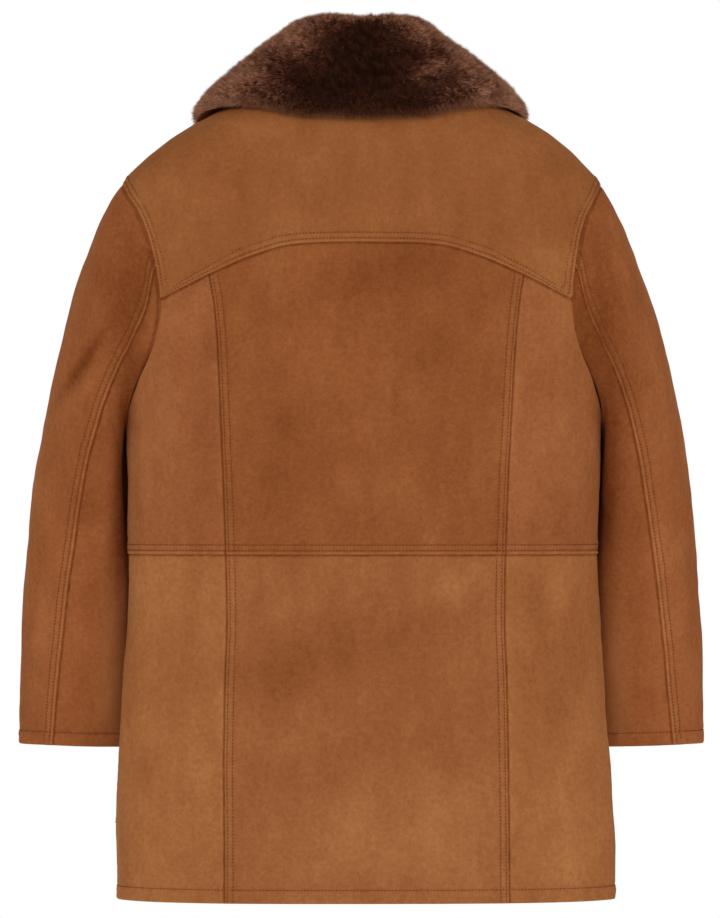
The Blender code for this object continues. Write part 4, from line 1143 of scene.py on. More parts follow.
    def grid(self):
        """Shares of a grid with lines at the seams' distances from each edge, and how far past each."""
        across_shares, up_shares = self.shares
        rows = self.lengths[0]
        lengths, left, right = self.line_lengths(
            ("left", "right"), rows[-1], (self.slants["left"], self.slants["right"]))
        lines = np.array([
            np.interp(length, row, across_shares) for length, row in zip(lengths.T, rows.T)]).T
        climbed = running_length(read_map(self.points, lines, np.broadcast_to(up_shares, lines.shape)), 1)
        slants = (np.interp(lines[:, 0], across_shares, self.slants["bottom"]),
                  np.interp(lines[:, -1], across_shares, self.slants["top"]))
        heights, bottom, top = self.line_lengths(("bottom", "top"), climbed[:, -1], slants)
        up = np.array([np.interp(heights[:, i], climbed[i], up_shares) for i in range(len(climbed))])
        across = np.array([np.interp(up[i], up_shares, lines[i]) for i in range(len(climbed))])
        past = {"left": left[:, None], "right": right[:, None], "bottom": bottom[None], "top": top[None]}
        beyond = {edge: np.broadcast_to(amount, across.shape).ravel() for edge, amount in past.items()}
        return across, up, beyond


# ---------------------------------------------------------------- meshes

def add_object(name, data):
    thing = bpy.data.objects.new(name, data)
    bpy.context.scene.collection.objects.link(thing)
    return thing


def new_piece(name, points, faces, materials, face_materials=None):
    mesh = bpy.data.meshes.new(name)
    mesh.from_pydata(points.tolist(), [], faces)
    for material in materials:
        mesh.materials.append(material)
    if face_materials is not None:
        mesh.polygons.foreach_set("material_index", face_materials)
    mesh.shade_smooth()
    mesh.update()
    piece = add_object(name, mesh)
    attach(piece, "root")
    return piece


def paint(piece, tones):
    """Keep a number for each point of a piece, for its material to read."""
    colours = np.repeat(np.clip(tones, 0.0, 1.0)[:, None], 4, axis=1)
    colours[:, 3] = 1.0
    layer = piece.data.color_attributes.new("tone", "FLOAT_COLOR", "POINT")
    layer.data.foreach_set("color", colours.ravel())


def nap_and_shading_tone(points, normals, on):
    """How light the suede is at each point, around 0: rubbed and dark nap, painted shade and painted light.
    """
    tone = np.zeros(len(points))
    for face in (1, -1):
        facing_it = smooth_step(0.5 + normals[:, 1] * face)
        for spot in NAP_AND_SHADING_SPOTS[on, face]:
            here = fading(spot, points[:, 0] - spot["x"], spot["height"] - points[:, 2])
            tone += spot["tone"] * facing_it * here
    return tone


def cell_sizes(points):
    """Twice the area of each cell of a grid of points."""
    crossed = np.cross(points[1:, 1:] - points[:-1, :-1], points[:-1, 1:] - points[1:, :-1])
    return np.linalg.norm(crossed, axis=-1)


def share_grid(columns, rows):
    return np.meshgrid(np.linspace(0.0, 1.0, columns), np.linspace(0.0, 1.0, rows), indexing="ij")


def grid_faces(columns, rows, first=0):
    i, j = np.meshgrid(np.arange(columns - 1), np.arange(rows - 1), indexing="ij")
    corner = first + i * rows + j
    return np.stack((corner, corner + rows, corner + rows + 1, corner + 1), axis=-1).reshape(-1, 4)


def facing(points, quads, directions):
    """The faces, turned to look along the directions given at their first corners."""
    sides = points[quads]
    normals = np.cross(sides[:, 2] - sides[:, 0], sides[:, 3] - sides[:, 1])
    return quads[:, ::-1] if np.sum(normals * directions) < 0 else quads


def border_of(columns, rows):
    """Indices round a grid's border, once round."""
    bottom = [i * rows for i in range(columns)]
    right = [(columns - 1) * rows + j for j in range(1, rows)]
    top = [i * rows + rows - 1 for i in range(columns - 2, -1, -1)]
    left = list(range(rows - 2, 0, -1))
    return np.array(bottom + right + top + left)


def rim_faces(points, border, ring):
    """Quads between a border and the ring of points under it, facing away from the face's middle."""
    quads = np.stack((border, np.roll(border, -1), np.roll(ring, -1), ring), axis=-1)
    return facing(points, quads, points[border] - points[:ring[0]].mean(axis=0))


def spokes(beside, upward, sides, start=0.0):
    """The directions from the middle of a circle to its corners."""
    angles = [2 * math.pi * (corner + start) / sides for corner in range(sides)]
    return [beside * math.cos(angle) + upward * math.sin(angle) for angle in angles]


def tube_faces(rings, sides, first=0):
    """Quads between rings of points."""
    corner = np.arange(sides)
    after = (corner + 1) % sides
    low = first + np.arange(rings - 1)[:, None] * sides
    quads = np.stack((low + corner, low + after, low + sides + after, low + sides + corner), axis=-1)
    return quads.reshape(-1, 4)


def repeated(pattern, count, points_each):
    """The same triangles for each of many small forms."""
    return ((np.arange(count) * points_each)[:, None, None] + np.array(pattern)).reshape(-1, 3).tolist()


def thinned(lengths, spacing):
    """Every line that is at least this far past the last one kept, and both ends."""
    kept = [0]
    for index in range(1, len(lengths) - 1):
        if lengths[index] - lengths[kept[-1]] >= spacing:
            kept.append(index)
    return kept + [len(lengths) - 1]


def shell(panel, suede, wool):
    """A thin shell: the suede face, its rim, and the woolly face on the inside."""
    across, up, beyond = panel.grid()
    columns, rows = across.shape
    across = across.ravel()
    up = up.ravel()
    outer, normals = panel.outer(across, up, beyond)
    base, _ = panel.surface(across, up)
    quads = grid_faces(columns, rows)
    quads = facing(outer, quads, normals[quads[:, 0]])

    border = border_of(columns, rows)
    count = len(border)
    first_cut = len(outer)
    points = np.concatenate((outer, outer[border] - normals[border] * CUT_EDGE))
    rim = rim_faces(points, border, first_cut + np.arange(count))
    flipped = rim[0, 0] != border[0]

    by_place = base.reshape(columns, rows, 3)
    kept_columns = thinned(running_length(by_place[:, rows // 2], 0), INNER_SPACING)
    kept_rows = thinned(running_length(by_place[columns // 2], 0), INNER_SPACING)
    kept = (np.array(kept_columns)[:, None] * rows + np.array(kept_rows)).ravel()
    first_inside = len(points)
    points = np.concatenate((points, base[kept] - normals[kept] * WALL))
    inside = grid_faces(len(kept_columns), len(kept_rows), first_inside)
    inside = facing(points, inside, -normals[kept[inside[:, 0] - first_inside]])
    place_on_border = {vertex: place for place, vertex in enumerate(border.tolist())}
    coarse = border_of(len(kept_columns), len(kept_rows))
    lower_rim = []
    for here, after in zip(coarse.tolist(), np.roll(coarse, -1).tolist()):
        start = place_on_border[int(kept[here])]
        end = place_on_border[int(kept[after])]
        if end <= start:
            end += count
        face = [first_cut + place % count for place in range(start, end + 1)]
        face += [first_inside + after, first_inside + here]
        lower_rim.append(face[::-1] if flipped else face)

    faces = quads.tolist() + rim.tolist() + lower_rim + inside.tolist()
    face_materials = np.zeros(len(faces), dtype=np.int32)
    face_materials[-len(inside):] = 1
    piece = new_piece(f"suede_{panel.name}", points, faces, (suede, wool), face_materials)
    # Each point's tone: the nap, painted shade and painted light from the spots, and the seams' painted
    # highlights and shade.
    tones = nap_and_shading_tone(outer, normals, "sleeve" if panel.name.startswith("sleeve") else "body")
    tones = NAP_MIDDLE + tones + panel.seam_shading(across, up, beyond)
    paint(piece, np.concatenate((tones, tones[border], np.full(len(kept), NAP_MIDDLE))))
    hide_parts(panel.name)


def stitch_places(panel, edge, distance, start, end):
    """Both ends of each stitch in a row, with the face's normal between them."""
    across, up = panel.line_at(edge, distance)
    points, _ = panel.surface(across, up)
    run = running_length(points, 0)
    low, high = np.interp((start, end), (across, up)[1 - EDGES[edge][0]], run)
    count = int((high - low - STITCH_PITCH) / STITCH_PITCH)
    starts = low + STITCH_PITCH / 2 + np.arange(count) * STITCH_PITCH
    (first, normal), (second, _) = (
        panel.outer(np.interp(place, run, across), np.interp(place, run, up))
        for place in (starts, starts + STITCH_LENGTH))
    return first, second, normal


def stitch_rows(panel):
    """The rows of stitches along a panel's seams, as (panel, edge, distance, from, to)."""
    for edge, kind, start, end in panel.seams:
        if (edge, kind) == ("left", "hem"):
            end = FRONT_ROW_TOP
        for distance in STITCHES.get(kind, ()):
            yield panel, edge, distance, start, end


def stitching(panels, material):
    """Every stitch is a short thread with pointed ends, half sunk in the suede."""
    found = [stitch_places(*row) for panel in panels for row in stitch_rows(panel)]
    first, second, normal = (np.concatenate(parts) for parts in zip(*found))
    along = unit(second - first)
    beside = unit(np.cross(along, normal))
    upward = np.cross(beside, along)
    points = [first - upward * STITCH_RADIUS]
    for share in (0.2, 0.8):
        middle = mix(first, second, share) + upward * (STITCH_RADIUS * STITCH_RISE)
        points += [
            middle + spoke * STITCH_RADIUS for spoke in spokes(beside, upward, STITCH_SIDES, 0.5)]
    points.append(second - upward * STITCH_RADIUS)
    pattern = []
    for low in range(1, 1 + STITCH_SIDES):
        after = low % STITCH_SIDES + 1
        pattern += [
            (0, after, low),
            (low, after, STITCH_SIDES + after),
            (low, STITCH_SIDES + after, STITCH_SIDES + low),
            (1 + 2 * STITCH_SIDES, STITCH_SIDES + low, STITCH_SIDES + after),
        ]
    faces = repeated(pattern, len(first), len(points))
    new_piece("stitching", np.stack(points, axis=1).reshape(-1, 3), faces, (material,))


# ---------------------------------------------------------------- collar

def collar_seam_start(reading):
    seam = neck_point(reading)
    normal = torso_normal(seam)
    neck_line = neck_point(reading + 1.0) - neck_point(reading - 1.0)
    inward = unit(np.cross(normal, neck_line))
    towards = vectors(-seam[..., 0], -seam[..., 1], 0.03)
    inward = inward * np.where(np.sum(inward * towards, axis=-1) < 0, -1.0, 1.0)[..., None]
    return seam - normal * COLLAR_SEAM_DROP + inward * COLLAR_SEAM_GAP


def collar_hide_point(turn, up):
    """The hide's line across the collar: up the stand, round the fold and down to the leaf's edge."""
    reading = np.minimum(turn, 360.0 - turn)
    angle = np.radians(reading)
    up_axis = np.array([0.0, 0.0, 1.0])
    away = unit(vectors(np.sin(angle) / FOLD_HALF_WIDTH, -np.cos(angle) / FOLD_HALF_DEPTH, 0.0))
    fold_y = FOLD_MIDDLE_Y - FOLD_HALF_DEPTH * np.cos(angle)
    middle = vectors(FOLD_HALF_WIDTH * np.sin(angle), fold_y, COLLAR.at("fold_z", reading) - FOLD_RADIUS)
    edge = shoulder_point(COLLAR.at("edge_x", reading), COLLAR.at("edge_rise", reading))
    edge = edge + scaled(torso_normal(edge), COLLAR.at("edge_lift", reading))
    slope = edge - middle
    leave_angle = np.arctan2(np.sum(slope * away, axis=-1), -slope[..., 2])

    def round_fold(fold_angle):
        spoke = scaled(away, np.cos(fold_angle)) + scaled(up_axis, np.sin(fold_angle))
        return middle + spoke * FOLD_RADIUS

    stand_end = round_fold(np.full_like(angle, math.pi))
    on_stand = mix(collar_seam_start(reading), stand_end, (up / STAND_SHARE)[..., None])
    on_fold = round_fold(mix(math.pi, leave_angle, (up - STAND_SHARE) / (FOLD_SHARE - STAND_SHARE)))
    share = (up - FOLD_SHARE) / (1 - FOLD_SHARE)
    bulge = scaled(away, np.cos(leave_angle)) + scaled(up_axis, np.sin(leave_angle))
    bow = COLLAR.at("leaf_bow", reading) * 4 * share * (1 - share)
    on_leaf = mix(round_fold(leave_angle), edge, share[..., None]) + scaled(bulge, bow)
    point = np.where((up <= STAND_SHARE)[..., None], on_stand, on_fold)
    point = np.where((up > FOLD_SHARE)[..., None], on_leaf, point)
    point[..., 0] *= np.where(turn <= 180.0, 1.0, -1.0)
    point[..., 0] += COLLAR_LEAN * smooth_step(up / FOLD_SHARE)
    return point


def quarter_round(share):
    left = 1 - np.clip(share, 0.0, 1.0)
    return np.sqrt(1 - left * left)


def collar_depth(across, up):
    full = mix(STAND_THICKNESS, STAND_FUR_DEPTH, smooth_step(up / STAND_SHARE))
    full = mix(full, FUR_DEPTH, smooth_step((up - STAND_SHARE) / (FUR_FULL_SHARE - STAND_SHARE)))
    to_edge = quarter_round((1 - up) / FUR_EDGE_ROUNDING)
    to_end = quarter_round(np.minimum(across, 1 - across) / FUR_END_ROUNDING)
    return mix(np.minimum(FUR_EDGE_DEPTH, full), full, to_edge * to_end)


# The collar's shoulders are where its fold turns down, which lie lower than in the solid.
COLLAR_SHOULDER = 0.080     # from the middle
COLLAR_SHOULDER_HALF_WIDTH = 0.024
COLLAR_SHOULDER_DROPS = (0.0064, 0.0038)    # on the coat's right and on its left
COLLAR_DROP_FROM = 0.045    # height above which they drop, in full after the blend
COLLAR_DROP_BLEND = 0.030
COLLAR_MAP_SIZE = (221, 121)

# How light the fur is, 0 to 1, painted light included: darker where it faces back, lighter where it turns
# away.
DARKEST_FUR = 0.11
PATCH_TONE = 0.08           # how much a light patch adds
LIT_TONE = 0.64             # how much light adds, the share of it between patches, and the rest in them
LIT_BETWEEN = 0.72
LIT_IN_PATCHES = 0.52
FULLY_TURNED = 0.50         # how far the fur turns away from the back before it is fully lit
TURNED_CURVE = 0.7
FRONT_LIGHT = 0.50          # and how lit its front is
FRONT_DEPTH = 0.05
RIM_LIGHT_TONE = 0.14             # how much painted rim light adds towards the leaf's edge
RIM_FROM = 0.84
RIM_BLEND = 0.12

UNDERCOAT_SIZE = (260, 130)
UNDERCOAT_SHARE = 0.78      # how much of the collar's depth the dense wool fills
UNDERCOAT_TONE = 0.62       # how light it is beside the hairs' tips
CLUMP_SHADING = 0.4            # and how much of that its clumps change: painted shade between them, lighter on their tops
FULL_CLUMP = 0.001          # height at which a clump is as light as it gets

HAIR_COUNT = 195000
HAIRS_A_PIECE = 65000       # 3 triangles each
HAIR_PATTERN = ((0, 1, 3), (1, 2, 3), (2, 0, 3))
HAIR_RADIUS = 0.00030
HAIR_WIDTHS = (0.7, 1.3)
HAIR_EXTRA = 0.0016         # how far the longest hairs stand past the solid's face
LEAST_LENGTH = 0.002
MIDDLE_LEAN = 0.40          # how far hairs lean over, as a slope
EDGE_LEAN = 1.1
END_LEAN = 1.3
LEAN_SPREAD = 0.13
ROOT_SHARE = 0.48           # where hairs are rooted in the collar's depth
ROOT_TONE = 0.50            # how light a hair's root is beside its tip
HAIR_TONES = (0.66, 1.34)
HAIR_TONE_SPREAD = 0.055
GUARD_SHARE = 0.10          # thicker hairs that stand out of the rest
GUARD_EXTRA = 0.0016
GUARD_WIDTH = 1.4
EDGE_HAIR_SHARE = 0.12      # hairs that hang from the leaf's edge
END_HAIR_SHARE = 0.03       # and from each of its ends
EDGE_BAND = 0.03            # how far in from the edge they are rooted, as a share of the leaf
END_BAND = 0.004
HANGING_ROOTS = (0.05, 0.75)
HANGING_LENGTHS = (0.0035, 0.0095)
HANGING_STAND = 0.45
EDGE_HAIR_LIGHT = 0.20            # how much painted rim light adds to the edge's hairs

# Uneven fields of the fur, each part as (amount, wavelength, seed).
WOOL_PATCHES = ((0.6, 0.050, 12), (0.5, 0.020, 13))
COARSE_CLUMPS = (0.0011, 0.009, 21)
FINE_CLUMPS = (0.0007, 0.0045, 22)
HAIR_SWAY = ((0.24, 0.016, 31), (0.26, 0.0070, 35))
HAIR_LEAN = ((0.20, 0.030, 32), (0.26, 0.0075, 34))
HAIR_LENGTHS = (0.0007, 0.010, 33)
HAIR_TUFTS = ((0.20, 0.0065, 36), (0.56, 0.0032, 37))


class CollarMap:
    """Points of the collar's hide, the way out of it, along it and round it, on one dense grid."""

    def __init__(self):
        first_turn = COLLAR_ROWS[0][0]
        across, up = share_grid(*COLLAR_MAP_SIZE)
        self.points = collar_hide_point(mix(first_turn, 360.0 - first_turn, across), up)
        self.along = unit(np.gradient(self.points, axis=1))
        self.round = unit(np.gradient(self.points, axis=0))
        self.outward = unit(np.cross(self.along, self.round))
        self.depth = collar_depth(across, up)
        self.face = self.points + scaled(self.outward, self.depth)
        from_shoulder = np.abs(self.face[..., 0]) - COLLAR_SHOULDER
        drop = np.where(self.face[..., 0] < 0, *COLLAR_SHOULDER_DROPS)
        drop = drop * bell(from_shoulder, COLLAR_SHOULDER_HALF_WIDTH)
        drop = drop * smooth_step((self.face[..., 2] - COLLAR_DROP_FROM) / COLLAR_DROP_BLEND)
        self.points[..., 2] -= drop
        self.face[..., 2] -= drop

    def read(self, across, up):
        """The hide, the ways out, along and round, the depth, and the depth as a share of the deepest."""
        tables = (self.points, self.outward, self.along, self.round, self.depth)
        hide, outward, along, around, depth = (read_map(table, across, up) for table in tables)
        return hide, unit(outward), unit(along), unit(around), depth, np.minimum(depth / FUR_DEPTH, 1.0)


def wool_tone(points, outward):
    """How light the fur is, 0 to 1: painted dark where it faces back, painted light where it turns away,
    uneven between.
    """
    turned_away = np.clip((1.0 - np.abs(outward[..., 1])) / FULLY_TURNED, 0.0, 1.0) ** TURNED_CURVE
    light = np.maximum(turned_away, FRONT_LIGHT * smooth_step(-points[..., 1] / FRONT_DEPTH))
    patches = 0.5 + 0.5 * np.clip(uneven(points, *WOOL_PATCHES), -1, 1)
    tone = DARKEST_FUR + PATCH_TONE * patches + LIT_TONE * light * (LIT_BETWEEN + LIT_IN_PATCHES * patches)
    for spot in WOOL_SPOTS:
        facing_it = smooth_step(0.5 + 2.0 * points[..., 1] * spot["face"] / FRONT_DEPTH)
        here = fading(spot, points[..., 0] - spot["x"], spot["height"] - points[..., 2])
        tone += spot["tone"] * facing_it * here
    return np.clip(tone, 0.0, 1.0)


def undercoat(collar_map, fur, suede):
    """The dense wool under the longer hairs, uneven as tufts are, on the hide that turns over the neck."""
    across, up = (shares.ravel() for shares in share_grid(*UNDERCOAT_SIZE))
    hide, outward, _, _, depth, full = collar_map.read(across, up)
    tufts = uneven(hide + outward * 0.01, COARSE_CLUMPS) + uneven(hide, FINE_CLUMPS)
    face = hide + scaled(outward, depth * UNDERCOAT_SHARE + tufts * full)
    quads = grid_faces(*UNDERCOAT_SIZE)
    top = facing(face, quads, outward[quads[:, 0]])
    under = facing(hide, quads, -outward[quads[:, 0]]) + len(face)
    border = border_of(*UNDERCOAT_SIZE)
    points = np.concatenate((face, hide))
    faces = np.concatenate((top, rim_faces(points, border, border + len(face)), under))
    face_materials = np.zeros(len(faces), dtype=np.int32)
    face_materials[-len(under):] = 1
    piece = new_piece("collar_wool", points, faces.tolist(), (fur, suede), face_materials)
    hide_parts("collar")
    # Painted shade: darker in the hollows between the clumps, lighter on their tops.
    raised = np.clip(np.tile(tufts, 2) / FULL_CLUMP, -1, 1)
    tone = UNDERCOAT_TONE * wool_tone(points, np.tile(outward, (2, 1)))
    paint(piece, tone * (1.0 - CLUMP_SHADING + CLUMP_SHADING * raised))


def hair_roots(collar_map, count, chance):
    """Places on the collar, spread evenly by area, and those of them that sit at the leaf's edge or ends."""
    cells = cell_sizes(collar_map.face)
    sizes = cells.ravel()
    chosen = chance.choice(len(sizes), size=count, p=sizes / sizes.sum())
    i, j = np.divmod(chosen, cells.shape[1])
    across = (i + chance.uniform(size=count)) / cells.shape[0]
    up = (j + chance.uniform(size=count)) / cells.shape[1]
    lot = chance.uniform(size=count)
    at_edge = lot < EDGE_HAIR_SHARE
    up = np.where(at_edge, 1.0 - EDGE_BAND * chance.uniform(size=count), up)
    at_start = (lot > 1 - END_HAIR_SHARE) & (up > STAND_SHARE)
    at_end = (lot > 1 - 2 * END_HAIR_SHARE) & (up > STAND_SHARE) & ~at_start
    near = END_BAND * chance.uniform(size=count)
    across = np.where(at_start, near, np.where(at_end, 1.0 - near, across))
    return across, up, at_edge, at_end.astype(float) - at_start


def fur_hairs(collar_map, material):
    """Hairs: three-sided spikes that lean over towards the leaf's edge, gathered in small tufts."""
    chance = np.random.default_rng(SEED)
    count = HAIR_COUNT // 1
    across, up, at_edge, end_way = hair_roots(collar_map, count, chance)
    hide, outward, along, around, depth, full = collar_map.read(across, up)
    hanging = at_edge | (end_way != 0)

    rise = np.where(hanging, chance.uniform(*HANGING_ROOTS, count), ROOT_SHARE)
    root = hide + scaled(outward, depth * rise)
    lean = np.where(at_edge, EDGE_LEAN, MIDDLE_LEAN + uneven(root, *HAIR_LEAN))
    lean = lean + chance.normal(0.0, LEAN_SPREAD, count)
    sideways = uneven(root, *HAIR_SWAY) + chance.normal(0.0, LEAN_SPREAD, count) + END_LEAN * end_way
    stand = np.where(hanging, HANGING_STAND, 1.0)
    direction = unit(scaled(outward, stand) + scaled(along, lean) + scaled(around, sideways))
    length = depth * (1.0 - ROOT_SHARE) + HAIR_EXTRA * full * chance.beta(1.6, 2.6, count)
    length = np.maximum(length + uneven(root, HAIR_LENGTHS), LEAST_LENGTH) * np.sqrt(1.0 + 0.5 * lean ** 2)
    length = np.where(hanging, chance.uniform(*HANGING_LENGTHS, count), length)
    guard = chance.uniform(size=count) < GUARD_SHARE
    tip = root + scaled(direction, length + np.where(guard, GUARD_EXTRA * full, 0.0))

    side_one = unit(np.cross(direction, chance.normal(size=(count, 3))))
    side_two = np.cross(direction, side_one)
    radius = HAIR_RADIUS * chance.uniform(*HAIR_WIDTHS, count) * np.where(guard, GUARD_WIDTH, 1.0)
    points = [root + scaled(spoke, radius) for spoke in spokes(side_one, side_two, 3)]
    points = np.stack(points + [tip], axis=1)

    # Painted rim light towards the leaf's edge and on the hairs that hang from it.
    rim = RIM_LIGHT_TONE * smooth_step((up - RIM_FROM) / RIM_BLEND) + np.where(at_edge, EDGE_HAIR_LIGHT, 0.0)
    tone = wool_tone(tip, outward) * (1.0 + uneven(root, *HAIR_TUFTS)) + rim
    tone = tone * chance.uniform(*HAIR_TONES, count) + chance.normal(0.0, HAIR_TONE_SPREAD, count)
    tones = tone[:, None] * np.array([ROOT_TONE, ROOT_TONE, ROOT_TONE, 1.0])
    for number, first in enumerate(range(0, count, HAIRS_A_PIECE), start=1):
        some = slice(first, first + HAIRS_A_PIECE)
        faces = repeated(HAIR_PATTERN, len(points[some]), 4)
        piece = new_piece(f"collar_hairs_{number}", points[some].reshape(-1, 3), faces, (material,))
        paint(piece, tones[some].ravel())


# ---------------------------------------------------------------- buttons

BUTTON_PROFILE = (
    # share of the radius, height in the button's thickness from its back
    (0.00, 0.60), (0.30, 0.60), (0.52, 0.62), (0.64, 0.80), (0.74, 0.97), (0.84, 1.00),
    (0.93, 0.92), (0.99, 0.66), (1.00, 0.42), (0.96, 0.16), (0.86, 0.02), (0.00, 0.00),
)
BUTTON_SIDES = 48
DISH_SHARE = 0.62           # height of the dish in the button's thickness, where the threads lie
HOLE_SPREAD = 0.0026
# How far along a loop of thread, and how high over the dish.
LOOP_PROFILE = ((0.0, -0.0003), (0.2, 0.0004), (0.5, 0.0007), (0.8, 0.0004), (1.0, -0.0003))
LOOP_RADIUS = 0.000495
LOOP_SIDES = 6


def button(number, height, horn, thread):
    """A dished horn button with two crossed loops of thread, whose ends sink into the dish where its four
    holes would be.
    """
    outer = torso_point(np.array(-90.0), np.array(height))
    normal = torso_normal(outer)
    beside = np.array([1.0, 0.0, 0.0])
    upward = unit(np.cross(beside, normal)) * -1.0
    back = outer + normal * (OVERLAP_LIFT + BUTTON_GAP)
    points = np.array([
        back + spoke * BUTTON_RADIUS * radius_share + normal * BUTTON_THICKNESS * rise_share
        for radius_share, rise_share in BUTTON_PROFILE for spoke in spokes(beside, upward, BUTTON_SIDES)])
    faces = tube_faces(len(BUTTON_PROFILE), BUTTON_SIDES)
    faces = facing(points, faces, points[faces[:, 0]] - points.mean(axis=0))
    piece = new_piece(f"horn_button_{number}", points, faces.tolist(), (horn,))
    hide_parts(f"button_{number}")

    middle = back + normal * BUTTON_THICKNESS * DISH_SHARE
    points = []
    for sign in (1, -1):
        half_way = (beside * sign + upward) * HOLE_SPREAD / 2
        sideways = np.cross(normal, unit(half_way))
        for share, lift in LOOP_PROFILE:
            centre = middle + half_way * (2 * share - 1) + normal * lift
            points += [centre + spoke * LOOP_RADIUS for spoke in spokes(sideways, normal, LOOP_SIDES)]
    rings = len(LOOP_PROFILE)
    faces = [tube_faces(rings, LOOP_SIDES, first) for first in (0, rings * LOOP_SIDES)]
    new_piece(f"button_thread_{number}", np.array(points), np.concatenate(faces).tolist(), (thread,))


# ---------------------------------------------------------------- materials

def linear(red, green, blue):
    """A colour given as 0 to 255 on a screen, as light."""
    shares = [value / 255 for value in (red, green, blue)]
    return tuple(s / 12.92 if s <= 0.04045 else ((s + 0.055) / 1.055) ** 2.4 for s in shares)


def set_inputs(tree, node, **inputs):
    """Set a node's inputs, named with _ for a space, each to a value or to the output that feeds it."""
    for name, value in inputs.items():
        socket = node.inputs[name.replace("_", " ")]
        if isinstance(value, bpy.types.NodeSocket):
            tree.links.new(value, socket)
        else:
            socket.default_value = value


def add_node(tree, kind, output, **inputs):
    """The output of a new node."""
    node = tree.nodes.new("ShaderNode" + kind)
    set_inputs(tree, node, **inputs)
    return node.outputs[output]


def set_shader(tree, **inputs):
    set_inputs(tree, tree.nodes["Principled BSDF"], **inputs)


def new_material(name, **inputs):
    """A material and its tree, with its shader's inputs set."""
    material = bpy.data.materials.new(name)
    material.use_nodes = True
    set_shader(material.node_tree, **inputs)
    return material, material.node_tree


def own_place(tree):
    return add_node(tree, "TexCoord", "Object")


def noise(tree, place, scale, detail, roughness=0.5):
    return add_node(tree, "TexNoise", "Fac", Vector=place, Scale=scale, Detail=detail, Roughness=roughness)


def stretched(tree, place, scale):
    return add_node(tree, "Mapping", "Vector", Vector=place, Scale=scale)


def blend_of(tree, first, second, share):
    """first and second mixed: share of the second."""
    return add_node(tree, "Mix", "Result", Factor=share, A=first, B=second)


def kept_tone(tree):
    """The number kept at each point of a piece."""
    node = tree.nodes.new("ShaderNodeVertexColor")
    node.layer_name = "tone"
    return node.outputs["Color"]


def ramp(tree, factor, *stops):
    node = tree.nodes.new("ShaderNodeValToRGB")
    elements = node.color_ramp.elements
    while len(elements) < len(stops):
        elements.new(0.5)
    for element, (place, colour) in zip(elements, stops):
        element.position = place
        element.color = (*colour, 1.0)
    tree.links.new(factor, node.inputs["Fac"])
    return node.outputs["Color"]


def bump(tree, height, strength, distance, **below):
    return add_node(tree, "Bump", "Normal", Height=height, Strength=strength, Distance=distance, **below)


LIGHT_NAP_AND_HIGHLIGHT = (0.45, 0.76, 0.88)      # how much more red, green and blue the lightest nap and painted highlight send back
DARK_NAP_AND_SHADE = (-0.42, -0.52, -0.60)    # and the darkest nap and painted shade
DEEPEST_TONES = 1.8           # how many times as far the ends of its tones lie


def suede_material(name, middle, contrast):
    """Napped suede: spots of nap, painted shade and painted light, patches where the nap lies either way, a
    fine grain.
    """
    def napped(changes, strength):
        return tuple(value * (1 + change * strength) for value, change in zip(middle, changes))

    material, tree = new_material(
        name, Roughness=0.96, Specular_IOR_Level=0.02,
        Sheen_Weight=0.06, Sheen_Roughness=0.45, Sheen_Tint=(0.90, 0.50, 0.28, 1.0))
    place = own_place(tree)
    patches = noise(tree, place, 9.0, 4.0, 0.58)
    brushed = noise(tree, stretched(tree, place, (38.0, 38.0, 16.0)), 1.0, 5.0, 0.62)
    grain = noise(tree, place, 620.0, 2.0, 0.6)
    flecks = noise(tree, place, 210.0, 3.0, 0.65)
    fine = blend_of(tree, grain, flecks, 0.6)
    nap = blend_of(tree, blend_of(tree, patches, brushed, 0.45), fine, 0.48)
    # The tone kept at each point brings the painted shade and painted light of the spots and seams.
    lightness = blend_of(tree, nap, kept_tone(tree), 0.33)
    strong = DEEPEST_TONES * contrast
    colour = ramp(tree, lightness, (0.26, napped(DARK_NAP_AND_SHADE, strong)), (0.38, napped(DARK_NAP_AND_SHADE, contrast)),
                  (0.50, middle), (0.62, napped(LIGHT_NAP_AND_HIGHLIGHT, contrast)), (0.74, napped(LIGHT_NAP_AND_HIGHLIGHT, strong)))
    coarse = bump(tree, flecks, 0.22, 0.0012)
    set_shader(tree, Base_Color=colour, Normal=bump(tree, grain, 0.34, 0.0005, Normal=coarse))
    return material


def wool_material(name):
    """Clipped wool on the inside of the hide: small curls, dark brown."""
    material, tree = new_material(name, Roughness=1.0, Specular_IOR_Level=0.1, Sheen_Weight=0.15)
    place = own_place(tree)
    curls = blend_of(tree, noise(tree, place, 240.0, 3.0, 0.7), noise(tree, place, 60.0, 2.0, 0.6), 0.4)
    colour = ramp(
        tree, curls, (0.34, linear(36, 19, 12)), (0.52, linear(72, 42, 28)), (0.70, linear(104, 66, 46)))
    set_shader(tree, Base_Color=colour, Normal=bump(tree, curls, 0.9, 0.0030))
    return material


def fur_material(name):
    """Fur coloured from the tone kept at each point, its painted light included: near black at the roots,
    brown at lit tips.
    """
    material, tree = new_material(
        name, Roughness=0.80, Specular_IOR_Level=0.05, Sheen_Weight=0.06, Sheen_Tint=(0.60, 0.36, 0.24, 1.0))
    set_shader(tree, Base_Color=ramp(
        tree, kept_tone(tree), (0.00, linear(26, 10, 5)), (0.20, linear(60, 29, 17)),
        (0.50, linear(120, 71, 48)), (0.80, linear(180, 122, 92)), (1.00, linear(216, 160, 128))))
    return material


def thread_material(name, colour):
    """Twisted polyester thread."""
    material, tree = new_material(name, Roughness=0.80, Specular_IOR_Level=0.10)
    twist = noise(tree, own_place(tree), 1800.0, 1.0)
    dark, light = (tuple(value * share for value in colour) for share in (0.75, 1.20))
    colour = ramp(tree, twist, (0.35, dark), (0.65, light))
    set_shader(tree, Base_Color=colour, Normal=bump(tree, twist, 0.5, 0.0002))
    return material


